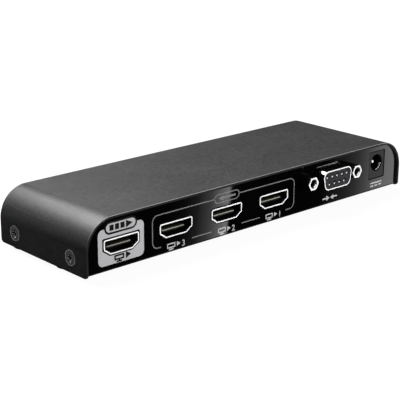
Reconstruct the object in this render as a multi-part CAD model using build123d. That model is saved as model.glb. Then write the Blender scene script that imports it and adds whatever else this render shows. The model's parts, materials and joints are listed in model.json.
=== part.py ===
from build123d import *
import os

# A small video switch box: a bent cover over a folded tray, a circuit board, and what the board carries.
# The sockets face +Y and the button and lights face -Y, +Z is up, and all sizes are millimetres.
# The origin is on the floor, under the middle of the whole outline, serial socket included.

# Cover
case_length = 160.0
case_depth = 50.0
cover_height = 19.65
cover_wall = 0.8
cover_corner_radius = 11.0
cover_lower_radius = 1.5
cover_rim_radius = 0.3

# Tray and the printed panels on its two end walls
panel_recess = 1.1
panel_thickness = 0.4
tray_sheet = 0.8
tray_lift = 0.6
tray_bend = 0.5
tray_ear_height = 9.4
tray_relief = 2.0

# Clearances
slip = 0.1
socket_gap = 0.35
wall_gap = 0.5
pin_gap = 0.15
overrun = 1.0

# Rubber feet
foot_radius = 4.2
foot_drop = 1.7
foot_edge_radius = 0.5
foot_end_inset = 6.2
foot_rear_inset = 18.6
foot_front_inset = 5.8

# Countersunk side screws and the nuts behind them
side_screw_radius = 1.5
side_screw_head_radius = 2.75
side_screw_length = 5.0
side_screw_height = 5.4
side_screw_inset = 8.85
side_nut_radius = 2.6
side_nut_thickness = 1.5
thread_gap = 0.05

# Cross recess in every screw head
recess_width = 0.75
recess_span = 3.3
recess_depth = 0.6

# Circuit board, its standoffs and its screws
board_thickness = 1.6
standoff_height = 2.7
standoff_radius = 2.75
standoff_stem_radius = 2.0
board_end_gap = 4.1
board_wall_gap = 1.0
board_screw_radius = 1.25
board_screw_length = 4.5
board_screw_head_radius = 2.2
board_screw_head_height = 1.4
fixing_end_inset = 13.5
fixing_jack_gap = 1.95
fixing_front_inset = 5.5
pin_stand_out = 0.8

# Video sockets, one output and three inputs
video_end_inset = 15.36
video_pitch_share = 0.1831
video_input_count = 3
video_axis_height = 3.1
video_rim_proud = 0.2
video_mouth_width = 14.0
video_mouth_height = 4.55
video_side_height = 2.925
video_step_in = 0.95
video_step_drop = 0.5
video_floor_width = 9.2
video_corner_radius = 0.35
video_shell_wall = 0.5
video_shell_depth = 11.5
video_rim_radius = 0.15
video_leg_length = 1.2
video_leg_front = 3.5
video_leg_rear = 9.6
video_spring_width = 2.2
video_spring_length = 4.4
video_spring_slot = 0.35
video_spring_offset = 3.2
video_spring_setback = 2.4
video_block_depth = 2.8
video_block_gap = 0.05
video_tongue_width = 10.4
video_tongue_thickness = 1.1
video_tongue_drop = 0.6
video_tongue_recess = 1.6
video_tongue_chamfer = 0.3
video_contact_pitch = 1.0
video_upper_count = 10
video_lower_count = 9
video_contact_width = 0.3
video_contact_thickness = 0.15
video_contact_setback = 0.5
video_contact_foot = 0.7

# Nine-way serial socket
serial_place_share = 0.7697
serial_axis_height = 6.8
serial_width = 16.8
serial_height = 7.7
serial_slant = 1.39
serial_corner_radius = 2.5
serial_wall = 0.5
serial_reach = 5.9
serial_rim_radius = 0.2
serial_flange_end = 2.905
serial_flange_below = 6.25
serial_flange_above = 4.85
serial_flange_thickness = 0.6
serial_flange_corner = 1.5
serial_face_recess = 0.3
serial_body_width = 19.2
serial_body_above = 4.6
serial_body_below = 5.4
serial_body_depth = 6.4
serial_body_gap = 0.05
serial_contact_pitch = 2.77
serial_row_gap = 2.84
serial_upper_count = 5
serial_lower_count = 4
serial_hole_radius = 0.62
serial_tube_radius = 0.56
serial_tube_bore = 0.38
serial_tube_setback = 0.35
serial_tube_depth = 5.0
serial_pin_width = 0.6
serial_lower_drop = 8.2
serial_upper_drop = 11.0

# Serial brackets and hex jack screws, which stand 24.99 mm apart
bracket_body_gap = 0.695
jack_hex = 4.75
jack_height = 4.9
jack_chamfer = 0.2
jack_thread_radius = 1.2
jack_thread_depth = 4.0
jack_mouth_radius = 1.85
jack_mouth_depth = 0.65
jack_stud_radius = 1.4
jack_stud_length = 6.8
bracket_inner = 2.2
bracket_outer = 2.7
bracket_sheet = 0.8
bracket_foot_length = 7.2
bracket_sleeve_radius = 2.1
bracket_sleeve_length = 3.4
bracket_lock_width = 0.8
bracket_lock_length = 1.6
bracket_lock_setback = 4.8

# Power jack
power_end_inset = 13.35
power_axis_height = 6.1
power_recess = 0.2
power_width = 9.0
power_above = 4.6
power_below = 6.2
power_depth = 14.0
power_collar_depth = 3.4
power_bore_radius = 3.25
power_bore_depth = 9.6
power_bore_chamfer = 0.35
power_pin_radius = 1.0
power_pin_setback = 2.0
power_pin_tail = 1.0
power_spring_width = 2.0
power_spring_sheet = 0.3
power_spring_crest = 0.7
power_spring_setback = 2.6
power_spring_length = 5.6
power_blade_width = 2.0
power_blade_sheet = 0.5
power_gap = 0.3

# What the front panel carries
front_axis_height = 4.0
window_place_share = 0.7
window_width = 13.0
window_height = 6.0
window_corner = 1.2
window_lip = 1.2
window_lip_thickness = 0.9
light_power_share = 0.45
light_first_share = 0.05
light_pitch_share = 0.15
light_input_count = 3
light_radius = 1.5
light_tip_radius = 0.9
light_length = 6.4
light_rim_radius = 1.9
light_rim_thickness = 0.8
light_gap = 0.1
light_holder_width = 4.6
light_holder_depth = 3.6
light_holder_above = 2.4
light_leg_size = 0.5
light_leg_pitch = 2.0
light_leg_setback = 1.2

# Select button and the push switch behind it
button_place_share = -0.55
button_width = 9.0
button_height = 4.6
button_corner = 1.4
button_proud = 0.6
button_edge_radius = 0.35
button_gap = 0.15
button_lip = 0.9
button_lip_thickness = 0.8
button_stem_radius = 1.5
button_stem_length = 0.6
button_travel = 0.5
button_stop_gap = 0.05
switch_width = 6.0
switch_depth = 3.5
switch_height = 7.0
switch_plunger_radius = 1.7
switch_plunger_gap = 0.1
switch_plunger_out = 1.3
switch_plunger_in = 1.0
switch_frame_sheet = 0.3
switch_leg_width = 1.0
switch_pin_size = 0.5
switch_pin_pitch = 4.5

# Remote receiver behind the window
receiver_width = 6.0
receiver_depth = 4.2
receiver_height = 6.8
receiver_dome_radius = 2.3
receiver_window_gap = 0.6
receiver_leg_count = 3
receiver_leg_pitch = 2.0
receiver_leg_size = 0.5

# Chips, each placed by its share of half the length and its share of the depth behind the sockets
lead_thickness = 0.2
lead_reach = 1.0
lead_knee = 0.3
switch_chip_shares = (0.37, 0.288)
switch_chip_side = 10.0
switch_chip_height = 1.4
switch_chip_pitch = 0.5
switch_chip_lead = 0.22
switch_chip_lead_count = 16
control_chip_shares = (0.04, 0.448)
control_chip_length = 12.8
control_chip_width = 7.5
control_chip_height = 2.3
wide_lead_pitch = 1.27
wide_lead = 0.42
control_chip_lead_count = 10
driver_chip_depth_share = 0.186
driver_chip_length = 9.9
driver_chip_width = 3.9
driver_chip_height = 1.5
driver_chip_lead_count = 8

# Crystal, regulator, inductor and capacitors, placed by shares as the chips are
crystal_depth_share = 0.462
crystal_chip_gap = 0.5
crystal_length = 11.0
crystal_width = 4.6
crystal_height = 3.5
crystal_rim = 0.4
crystal_rim_height = 0.5
regulator_shares = (-0.7, 0.244)
regulator_width = 6.5
regulator_length = 6.1
regulator_height = 2.3
regulator_tab_width = 5.2
regulator_tab_length = 1.6
regulator_tab_thickness = 0.5
regulator_lead_pitch = 4.57
regulator_lead_width = 0.8
inductor_shares = (-0.56, 0.506)
inductor_side = 7.0
inductor_height = 3.2
inductor_corner = 1.4
inductor_dish_radius = 2.4
inductor_dish_depth = 0.4
can_place_shares = ((-0.83, 0.433), (-0.71, 0.578))
can_radius = 3.15
can_height = 5.4
can_edge_radius = 0.5
can_base_side = 6.6
can_base_height = 1.2
can_base_corner = 1.6
protector_inset = 15.6
protector_length = 2.5
protector_width = 1.3
protector_height = 0.55
small_part_length = 1.6
small_part_width = 0.8
resistor_height = 0.45
ceramic_height = 0.8
small_part_pitch = 1.9
resistor_row_shares = ((0.2, 0.116), (0.52, 0.186), (-0.15, 0.2), (-0.31, 0.42))
resistor_row_counts = (5, 6, 5, 4)
chip_part_gap = 0.25
ceramic_row_counts = (5, 3, 3, 4)
ceramic_near_share = 0.375
ceramic_free_shares = (0.25, 0.491)
ceramic_aside_shares = (-0.09, -0.065)

# Planes that the pieces share
half_length = case_length / 2
serial_overhang = serial_reach - panel_recess
rear_y = (case_depth - serial_overhang) / 2
front_y = rear_y - case_depth
cover_z = foot_drop
cover_top = cover_z + cover_height
inner_half = half_length - cover_wall - slip
inner_top = cover_top - cover_wall - slip
inner_radius = cover_corner_radius - cover_wall - slip
tray_z = cover_z + tray_lift
tray_floor = tray_z + tray_sheet
board_z = tray_floor + standoff_height
board_top = board_z + board_thickness
rear_panel_y = rear_y - panel_recess
rear_wall_y = rear_panel_y - panel_thickness
rear_wall_inner = rear_wall_y - tray_sheet
front_panel_y = front_y + panel_recess
front_wall_y = front_panel_y + panel_thickness
front_wall_inner = front_wall_y + tray_sheet
board_rear = rear_wall_inner - board_wall_gap
board_front = front_wall_inner + board_wall_gap
board_half = inner_half - tray_sheet - board_end_gap
front_axis_z = board_top + front_axis_height
serial_z = board_top + serial_axis_height
power_z = board_top + power_axis_height
video_z = board_top + video_axis_height
sides = (-1, 1)

# The jack screws stand outside the serial socket's body, and the flange reaches past them
jack_spacing = serial_body_width + 2 * (bracket_body_gap + bracket_inner)
serial_flange_width = jack_spacing + 2 * serial_flange_end

# Places along the length
video_out_x = half_length - video_end_inset
power_x = power_end_inset - half_length
socket_run = video_out_x - power_x
video_pitch = socket_run * video_pitch_share
serial_x = video_out_x - socket_run * serial_place_share
window_x = half_length * window_place_share
light_power_x = half_length * light_power_share
light_first_x = half_length * light_first_share
light_pitch = half_length * light_pitch_share
button_x = half_length * button_place_share


def block(x, y, z):
    """A block between the limits x, y and z."""
    center = Pos((x[0] + x[1]) / 2, (y[0] + y[1]) / 2, (z[0] + z[1]) / 2)
    return center * Box(x[1] - x[0], y[1] - y[0], z[1] - z[0])


def about(center, width):
    """The limits of a width about a centre."""
    return (center - width / 2, center + width / 2)


def rod(radius, start, end):
    """A round bar from one point to another."""
    run = Vector(*end) - Vector(*start)
    return extrude(Plane(origin=start, z_dir=run) * Circle(radius), run.length)


def taper(radius, start, end_radius, end):
    """A round bar whose radius changes evenly from one point to another."""
    run = Vector(*end) - Vector(*start)
    cone = Cone(radius, end_radius, run.length, align=(Align.CENTER, Align.CENTER, Align.MIN))
    return Plane(origin=start, z_dir=run) * cone


def along_x(sketch, x):
    """A sketch drawn in Y and Z, carried through the limits x."""
    return extrude(Plane.YZ.offset(x[0]) * sketch, x[1] - x[0])


def along_y(sketch, y):
    """A sketch drawn in X and Z, carried through the limits y."""
    return extrude(Plane.XZ.offset(-y[1]) * sketch, y[1] - y[0])


def along_z(sketch, z):
    """A sketch drawn in X and Y, carried through the limits z."""
    return extrude(Plane.XY.offset(z[0]) * sketch, z[1] - z[0])


def outline(points):
    """A flat face with straight sides."""
    return make_face(Polyline(*points, close=True))


def rounded(x, y, radius):
    """A flat rectangle between the limits x and y with round corners."""
    return Pos((x[0] + x[1]) / 2, (y[0] + y[1]) / 2) * RectangleRounded(x[1] - x[0], y[1] - y[0], radius)


def row(center, count, pitch):
    """Places evenly spaced about a centre."""
    return [center + (i - (count - 1) / 2) * pitch for i in range(count)]


def board_place(shares):
    """A place on the board, from its share of half the length and of the depth behind the sockets."""
    inset = protector_inset + shares[1] * (case_depth - protector_inset)
    return half_length * shares[0], rear_y - inset


def arch(half, bottom, top, radius):
    """The case seen end on to its sockets: square below, with its two upper corners rounded."""
    face = outline([(-half, bottom), (half, bottom), (half, top), (-half, top)])
    return fillet(face.vertices().sort_by(Axis.Y)[-2:], radius)


def cross_recess(start, into):
    """The cross-shaped driver recess of a screw head, cut from a point in its face along a direction."""
    frame = Plane(origin=start, z_dir=into)
    arm = Rectangle(recess_span, recess_width)
    cross = fillet((arm + Rot(0, 0, 90) * arm).vertices(), recess_width / 8)
    return extrude(frame * cross, recess_depth)


def side_screw_places():
    """The outer point of each side screw and the direction in which it points."""
    z = cover_z + side_screw_height
    ends = (front_y + side_screw_inset, rear_y - side_screw_inset)
    return [(side, y, z) for side in sides for y in ends]


def make_top_cover():
    """The bent cover: a top, two sides and the two round corners that join them."""
    outer = arch(half_length, cover_z, cover_top, cover_corner_radius)
    hollow_top = cover_top - cover_wall
    hollow = arch(half_length - cover_wall, cover_z - overrun, hollow_top, cover_corner_radius - cover_wall)
    side_view = outline([(front_y, cover_z), (rear_y, cover_z), (rear_y, cover_top), (front_y, cover_top)])
    side_view = fillet(side_view.vertices().sort_by(Axis.Y)[:2], cover_lower_radius)
    cover = along_y(outer - hollow, (front_y, rear_y)) & along_x(side_view, (-half_length, half_length))
    rims = [e for e in cover.edges() if on_outer_rim(e)]
    cover = fillet(rims, cover_rim_radius)
    for side, y, z in side_screw_places():
        cover -= screw_shape(side, y, z, thread_gap)
    return cover


def on_outer_rim(edge):
    """Whether an edge runs round the outside of the cover's front or rear opening."""
    middle = edge @ 0.5
    in_rim_plane = abs((edge @ 0).Y - (edge @ 1).Y) < slip and not front_y + slip < middle.Y < rear_y - slip
    reach = half_length - cover_corner_radius
    lift = cover_top - cover_corner_radius
    corner = (max(abs(middle.X) - reach, 0) ** 2 + max(middle.Z - lift, 0) ** 2) ** 0.5
    return in_rim_plane and corner > cover_corner_radius - slip


def screw_shape(side, y, z, gap):
    """A countersunk screw pushed in from one end of the case, grown by a gap for the hole that takes it."""
    face = (side * half_length, y, z)
    neck = (side * (half_length - cover_wall), y, z)
    tip = (side * (half_length - side_screw_length - gap), y, z)
    head = taper(side_screw_head_radius + gap, face, side_screw_radius + gap, neck)
    return head + rod(side_screw_radius + gap, face, tip)


def make_side_screws():
    """Four countersunk screws, two at each end."""
    screws = []
    for side, y, z in side_screw_places():
        screw = screw_shape(side, y, z, 0) - cross_recess((side * half_length, y, z), (-side, 0, 0))
        screws.append(screw)
    return screws


def make_side_nuts():
    """Four round nuts pressed against the inside of the tray's ears."""
    nuts = []
    seat = inner_half - tray_sheet
    for side, y, z in side_screw_places():
        start = (side * seat, y, z)
        end = (side * (seat - side_nut_thickness), y, z)
        nuts.append(rod(side_nut_radius, start, end) - rod(side_screw_radius + thread_gap, start, end))
    return nuts


def video_outline(grow):
    """The mouth of a video socket, grown outwards by a distance, about its own middle."""
    top = video_mouth_height / 2
    half = video_mouth_width / 2
    floor = video_floor_width / 2
    step_z = top - video_side_height
    right = [(half, top), (half, step_z), (half - video_step_in, step_z - video_step_drop), (floor, -top)]
    face = outline(right + [(-x, z) for x, z in reversed(right)])
    if grow:
        face = offset(face, grow, kind=Kind.INTERSECTION)
    corners = face.vertices().sort_by(Axis.Y)
    return fillet(corners[:2] + corners[-4:], video_corner_radius + grow)


def video_sockets():
    """Each video socket's name and the place of its middle along X."""
    names = ["video_out"] + [f"video_in_{video_input_count - i}" for i in range(video_input_count)]
    return [(name, video_out_x - i * video_pitch) for i, name in enumerate(names)]


def serial_outline(grow):
    """The outside of the serial socket's shell, grown by a distance, about its own middle."""
    half = serial_width / 2
    top = serial_height / 2
    foot = half - serial_slant
    face = outline([(-half, top), (half, top), (foot, -top), (-foot, -top)])
    face = fillet(face.vertices(), serial_corner_radius)
    return offset(face, grow) if grow else face


def jack_places():
    """The X place of each jack screw."""
    return row(serial_x, len(sides), jack_spacing)


def rear_openings(gap):
    """The openings in the rear panel or in the tray wall behind it, with a gap round each socket."""
    openings = Sketch()
    for _, x in video_sockets():
        openings += Pos(x, video_z) * video_outline(video_shell_wall + gap)
    openings += Pos(serial_x, serial_z) * serial_outline(gap)
    for x in jack_places():
        openings += Pos(x, serial_z) * Circle(jack_stud_radius + pin_gap)
    z = (power_z - power_below - gap, power_z + power_above + gap)
    openings += rounded(about(power_x, power_width + 2 * gap), z, gap)
    return openings


def light_places():
    """Each status light's name and the place of its middle along X."""
    places = [("status_light_power", light_power_x)]
    for i in range(light_input_count):
        places.append((f"status_light_{i + 1}", light_first_x - i * light_pitch))
    return places


def front_openings(gap):
    """The openings in the front panel or in the tray wall behind it."""
    window_z = about(front_axis_z, window_height + gap)
    window = rounded(about(window_x, window_width + gap), window_z, window_corner)
    width = button_width + gap + button_gap
    height = button_height + gap + button_gap
    openings = window + rounded(about(button_x, width), about(front_axis_z, height), button_corner)
    for _, x in light_places():
        openings += Pos(x, front_axis_z) * Circle(light_radius + gap)
    return openings


def fixing_places():
    """The places of the board's four fixings."""
    x = half_length - fixing_end_inset
    jack_back = rear_panel_y - power_recess - power_depth - power_blade_sheet
    ys = (front_y + fixing_front_inset, jack_back - fixing_jack_gap - standoff_radius)
    return [(side * x, y) for side in sides for y in ys]


def make_bottom_tray():
    """The folded tray: a floor, an end wall behind each panel and an ear along each side."""
    bend = tray_bend + tray_sheet
    skin = [(front_wall_y, tray_z), (rear_wall_y, tray_z), (rear_wall_y, cover_top), (front_wall_y, cover_top)]
    room_z = (tray_floor, cover_top + overrun)
    room = [(y, z) for y, z in zip((front_wall_inner, rear_wall_inner), (room_z[0], room_z[0]))]
    room += [(rear_wall_inner, room_z[1]), (front_wall_inner, room_z[1])]
    skin_face = outline(skin)
    room_face = outline(room)
    skin_face = fillet(skin_face.vertices().sort_by(Axis.Y)[:2], bend)
    room_face = fillet(room_face.vertices().sort_by(Axis.Y)[:2], tray_bend)
    tray = along_x(skin_face - room_face, (-inner_half, inner_half))
    tray &= along_y(arch(inner_half, tray_z, inner_top, inner_radius), (front_wall_y, rear_wall_y))
    ear_y = (front_wall_y + bend + tray_relief, rear_wall_y - bend - tray_relief)
    for side in sides:
        edge = side * inner_half
        ear = block(sorted((edge, edge - side * tray_sheet)), ear_y, (tray_z, tray_z + tray_ear_height))
        for y in ((front_wall_y + bend, ear_y[0]), (ear_y[1], rear_wall_y - bend)):
            notch_x = sorted((edge + side * overrun, edge - side * bend))
            tray -= block(notch_x, y, (tray_z - overrun, tray_floor + overrun))
        tray += ear
    folds = tray.edges().filter_by(Axis.Y)
    tray = fillet([e for e in folds if is_fold(e, inner_half, tray_z)], bend)
    folds = tray.edges().filter_by(Axis.Y)
    tray = fillet([e for e in folds if is_fold(e, inner_half - tray_sheet, tray_floor)], tray_bend)
    for side, y, z in side_screw_places():
        tray -= rod(side_screw_radius + thread_gap, (side * half_length, y, z), (side * board_half, y, z))
    for x, y in fixing_places():
        tray -= rod(standoff_stem_radius + thread_gap, (x, y, tray_z - overrun), (x, y, tray_floor + overrun))
    tray -= along_y(rear_openings(wall_gap), (rear_wall_inner - overrun, rear_wall_y + overrun))
    tray -= along_y(front_openings(slip), (front_wall_y - overrun, front_wall_inner + overrun))
    return tray


def is_fold(edge, x, z):
    """Whether an edge runs along the fold between the tray's floor and an ear."""
    middle = edge @ 0.5
    return abs(abs(middle.X) - x) < slip and abs(middle.Z - z) < slip and edge.length > case_depth / 2


def make_rear_panel():
    """The glossy printed film on the rear wall."""
    face = arch(inner_half, tray_z, inner_top, inner_radius) - rear_openings(socket_gap)
    return along_y(face, (rear_wall_y, rear_panel_y))


def make_front_panel():
    """The glossy printed film on the front wall."""
    face = arch(inner_half, tray_z, inner_top, inner_radius) - front_openings(slip)
    return along_y(face, (front_panel_y, front_wall_y))


def foot_places():
    """Each rubber foot's name and place."""
    x = half_length - foot_end_inset
    ends = (("front", front_y + foot_front_inset), ("rear", rear_y - foot_rear_inset))
    names = {-1: "right", 1: "left"}
    return [(f"foot_{end}_{names[side]}", side * x, y) for end, y in ends for side in sides]


def make_foot(x, y):
    """A round rubber foot stuck under the tray."""
    foot = rod(foot_radius, (x, y, 0), (x, y, tray_z))
    return fillet(foot.edges().sort_by(Axis.Z)[0], foot_edge_radius)


def make_standoffs():
    """Four round standoffs pressed into the tray's floor."""
    standoffs = []
    for x, y in fixing_places():
        post = rod(standoff_radius, (x, y, tray_floor), (x, y, board_z))
        post += rod(standoff_stem_radius, (x, y, tray_z), (x, y, tray_floor))
        standoffs.append(post - rod(board_screw_radius + thread_gap, (x, y, tray_z), (x, y, board_z)))
    return standoffs


def make_board_screws():
    """Four pan-head screws that hold the board on its standoffs."""
    screws = []
    head_top = board_top + board_screw_head_height
    for x, y in fixing_places():
        head = rod(board_screw_head_radius, (x, y, board_top), (x, y, head_top))
        head = fillet(head.edges().sort_by(Axis.Z)[-1], board_screw_head_height / 2)
        shank = rod(board_screw_radius, (x, y, board_top), (x, y, board_top - board_screw_length))
        screws.append(head + shank - cross_recess((x, y, head_top), (0, 0, -1)))
    return screws


def video_leg_places():
    """The places of the legs of one video shell, about the middle of its mouth."""
    x = (video_mouth_width + video_shell_wall) / 2
    return [(side * x, -y) for side in sides for y in (video_leg_front, video_leg_rear)]


def make_video_shell():
    """The folded metal shell of a video socket, with spring fingers in its top and four legs."""
    tube = video_outline(video_shell_wall) - video_outline(0)
    shell = along_y(tube, (-video_shell_depth, 0))
    mouth = shell.faces().sort_by(Axis.Y)[-1]
    shell = fillet(mouth.outer_wire().edges(), video_rim_radius)
    roof = (video_mouth_height / 2 - overrun / 2, video_mouth_height / 2 + overrun)
    tip = -video_spring_setback
    root = tip - video_spring_length
    for x in (-video_spring_offset, video_spring_offset):
        arms = block(about(x, video_spring_width), (root, tip), roof)
        finger_x = about(x, video_spring_width - 2 * video_spring_slot)
        finger = block(finger_x, (root, tip - video_spring_slot), roof)
        shell -= arms - finger
    low = -video_axis_height - board_thickness - pin_stand_out
    high = video_mouth_height / 2 - video_side_height + video_corner_radius
    for x, y in video_leg_places():
        shell += block(about(x, video_shell_wall), about(y, video_leg_length), (low, high))
    return shell


def make_video_contacts():
    """The contacts of one video socket: two rows of strips along its tongue, bent down to the board."""
    top = video_tongue_thickness / 2 - video_tongue_drop
    bottom = top - video_tongue_thickness
    upper = row(0, video_upper_count, video_contact_pitch)
    lower = row(0, video_lower_count, video_contact_pitch)
    strips = [contact_strip(x, top) for x in upper]
    return strips + [contact_strip(x, bottom - video_contact_thickness) for x in lower]


def contact_strip(x, z):
    """One contact whose underside lies at z, as a strip bent twice."""
    thick = video_contact_thickness
    tip = -video_tongue_recess - video_contact_setback
    back = -video_shell_depth - thick
    toe = back - thick - video_contact_foot
    floor = -video_axis_height
    side_view = [(tip, z), (tip, z + thick), (back - thick, z + thick), (back - thick, floor + thick)]
    side_view += [(toe, floor + thick), (toe, floor), (back, floor), (back, z)]
    return along_x(outline(side_view), about(x, video_contact_width))


def make_video_block(contacts):
    """The plastic block at the back of a video socket and the tongue that carries its contacts."""
    back = -video_shell_depth
    body = along_y(video_outline(-video_block_gap), (back, back + video_block_depth))
    top = video_tongue_thickness / 2 - video_tongue_drop
    z = (top - video_tongue_thickness, top)
    tongue = block(about(0, video_tongue_width), (back, -video_tongue_recess), z)
    tip_edges = tongue.faces().sort_by(Axis.Y)[-1].edges()
    body += chamfer(tip_edges, video_tongue_chamfer)
    for strip in contacts:
        body -= strip
    return body


def make_serial_shell():
    """The serial socket's drawn front shell and its flange."""
    mouth = rear_panel_y + serial_reach - rear_wall_inner
    hollow = serial_outline(-serial_wall)
    shell = along_y(serial_outline(0) - hollow, (-serial_flange_thickness, mouth))
    face = shell.faces().sort_by(Axis.Y)[-1]
    shell = fillet(face.outer_wire().edges(), serial_rim_radius)
    z = (-serial_flange_below, serial_flange_above)
    plate = rounded(about(0, serial_flange_width), z, serial_flange_corner) - hollow
    for x in row(0, len(sides), jack_spacing):
        plate -= Pos(x, 0) * Circle(jack_stud_radius + pin_gap)
    return shell + along_y(plate, (-serial_flange_thickness, 0))


def serial_contact_places():
    """Each serial contact's place in the socket's face, and how far back it turns down."""
    z = serial_row_gap / 2
    upper = [(x, z, serial_upper_drop) for x in row(0, serial_upper_count, serial_contact_pitch)]
    lower = [(x, -z, serial_lower_drop) for x in row(0, serial_lower_count, serial_contact_pitch)]
    return upper + lower


def make_serial_insulator():
    """The plastic block with nine holes that fills the serial socket's shell."""
    mouth = rear_panel_y + serial_reach - rear_wall_inner
    face = mouth - serial_face_recess
    front = along_y(serial_outline(-serial_wall - serial_body_gap), (-serial_flange_thickness, face))
    back = -serial_flange_thickness - serial_body_depth
    z = (-serial_body_below, serial_body_above)
    body = front + block(about(0, serial_body_width), (back, -serial_flange_thickness), z)
    for x, z, _ in serial_contact_places():
        body -= rod(serial_hole_radius, (x, back - overrun, z), (x, face + overrun, z))
    return body


def make_serial_contacts():
    """Nine socket tubes, each with a square tail that turns down through the board."""
    mouth = rear_panel_y + serial_reach - rear_wall_inner
    start = mouth - serial_face_recess - serial_tube_setback
    back = -serial_flange_thickness - serial_body_depth
    low = -serial_axis_height - board_thickness - pin_stand_out
    half = serial_pin_width / 2
    contacts = []
    for x, z, drop in serial_contact_places():
        tube = rod(serial_tube_radius, (x, back, z), (x, start, z))
        tube -= rod(serial_tube_bore, (x, start - serial_tube_depth, z), (x, start + overrun, z))
        side_view = [(back, z - half), (back, z + half), (-drop - half, z + half), (-drop - half, low)]
        side_view += [(-drop + half, low), (-drop + half, z - half)]
        contacts.append(tube + along_x(outline(side_view), about(x, serial_pin_width)))
    return contacts


def bracket_lock_places():
    """The place of each board lock, about the serial socket's middle."""
    y = -serial_flange_thickness - bracket_lock_setback
    return [(x, y) for x in row(0, len(sides), jack_spacing)]


def make_serial_brackets():
    """The two brackets behind the flange: an upright, a foot on the board, a threaded sleeve and a lock."""
    brackets = []
    front = -serial_flange_thickness
    back = front - bracket_sheet
    floor = -serial_axis_height
    low = floor - board_thickness - pin_stand_out
    for side, (x, lock_y) in zip(sides, bracket_lock_places()):
        span = sorted((x - side * bracket_inner, x + side * bracket_outer))
        bracket = block(span, (back, front), (floor, serial_flange_above))
        bracket += block(span, (front - bracket_foot_length, front), (floor, floor + bracket_sheet))
        bracket += rod(bracket_sleeve_radius, (x, back, 0), (x, back - bracket_sleeve_length, 0))
        bracket += block(about(x, bracket_lock_width), about(lock_y, bracket_lock_length), (low, floor))
        hole_end = back - bracket_sleeve_length - overrun
        hole = rod(jack_stud_radius + thread_gap, (x, front + overrun, 0), (x, hole_end, 0))
        brackets.append(bracket - hole)
    return brackets


def make_jack_screws():
    """The two hex jack screws, each with a threaded hole in its head and a stud behind."""
    screws = []
    face = rear_panel_y + jack_height
    corner = jack_hex / 3 ** 0.5
    for x in jack_places():
        head = along_y(Pos(x, serial_z) * RegularPolygon(corner, 6), (rear_panel_y, face))
        shoulder = face - jack_chamfer
        reach = corner + jack_chamfer
        dome = rod(reach, (x, rear_panel_y, serial_z), (x, shoulder, serial_z))
        dome += taper(reach, (x, shoulder, serial_z), reach - 2 * jack_chamfer, (x, face, serial_z))
        head &= dome
        stud_end = (x, rear_panel_y - jack_stud_length, serial_z)
        head += rod(jack_stud_radius, (x, rear_panel_y, serial_z), stud_end)
        head -= rod(jack_thread_radius, (x, face, serial_z), (x, face - jack_thread_depth, serial_z))
        mouth_end = (x, face - jack_mouth_depth, serial_z)
        screws.append(head - taper(jack_mouth_radius, (x, face, serial_z), jack_thread_radius, mouth_end))
    return screws


def make_power_jack():
    """The power jack's moulded body, pin, spring contact and solder blades, about the middle of its face."""
    half = power_width / 2
    floor = -power_axis_height
    bore_end = -power_bore_depth
    body = block((-half, half), (-power_collar_depth, 0), (floor, power_above))
    board_edge = board_rear + slip - (rear_panel_y - power_recess)
    body += block((-half, half), (board_edge, 0), (-power_below, floor))
    body += block((-half, half), (-power_depth, -power_collar_depth), (floor, 0))
    body += rod(half, (0, -power_collar_depth, 0), (0, -power_depth, 0))
    body -= rod(power_bore_radius, (0, overrun, 0), (0, bore_end, 0))
    rim = power_bore_radius + power_bore_chamfer
    body -= taper(rim, (0, 0, 0), power_bore_radius, (0, -power_bore_chamfer, 0))

    pin_tip = -power_pin_setback
    pin_back = -power_depth - power_pin_tail
    pin = rod(power_pin_radius, (0, pin_back, 0), (0, pin_tip, 0))
    pin = fillet(pin.edges().sort_by(Axis.Y)[-1], power_pin_radius / 2)
    body -= rod(power_pin_radius + thread_gap, (0, pin_back, 0), (0, bore_end + overrun, 0))

    low = floor - board_thickness - pin_stand_out
    start = -power_spring_setback
    crest = start - power_spring_length / 2
    end = start - power_spring_length
    groove = -power_bore_radius - power_spring_sheet
    top = groove + power_spring_crest + power_spring_sheet
    leaf = [(start, groove), (crest, top), (end, groove), (end, low), (end - power_blade_sheet, low)]
    leaf += [(end - power_blade_sheet, groove + power_spring_sheet), (end, groove + power_spring_sheet)]
    leaf += [(crest, top + power_spring_sheet), (start, groove + power_spring_sheet)]
    spring = along_x(outline(leaf), about(0, power_spring_width))
    channel = about(0, power_spring_width + power_gap)
    body -= block(channel, (end - power_blade_sheet - pin_gap, start + pin_gap), (groove - pin_gap, 0))
    body -= block(channel, (end - power_blade_sheet - pin_gap, end + pin_gap), (floor - overrun, 0))

    blades = []
    rear_blade_y = (-power_depth - power_blade_sheet, -power_depth)
    rear_blade = block(about(0, power_blade_width), rear_blade_y, (low, power_pin_radius + power_blade_sheet))
    blades.append(rear_blade - rod(power_pin_radius, (0, pin_back, 0), (0, -power_depth + overrun, 0)))
    side_y = about((end - power_depth) / 2, power_blade_width)
    blades.append(block((half, half + power_blade_sheet), side_y, (low, 0)))
    return body, pin, spring, blades


def make_front_window():
    """The dark window for the remote signal, with a lip behind the wall."""
    width = window_width - slip
    height = window_height - slip
    pane = rounded(about(window_x, width), about(front_axis_z, height), window_corner)
    window = along_y(pane, (front_panel_y, front_wall_inner))
    lip_face = rounded(
        about(window_x, width + 2 * window_lip), about(front_axis_z, height + 2 * window_lip), window_corner
    )
    return window + along_y(lip_face, (front_wall_inner, front_wall_inner + window_lip_thickness))


def make_status_light(x):
    """A round status light lying on its side, its tip level with the panel."""
    z = front_axis_z
    back = front_panel_y + light_length
    light = rod(light_radius, (x, front_panel_y, z), (x, back, z))
    light = fillet(light.edges().sort_by(Axis.Y)[0], light_tip_radius)
    return light + rod(light_rim_radius, (x, back - light_rim_thickness, z), (x, back, z))


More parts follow.
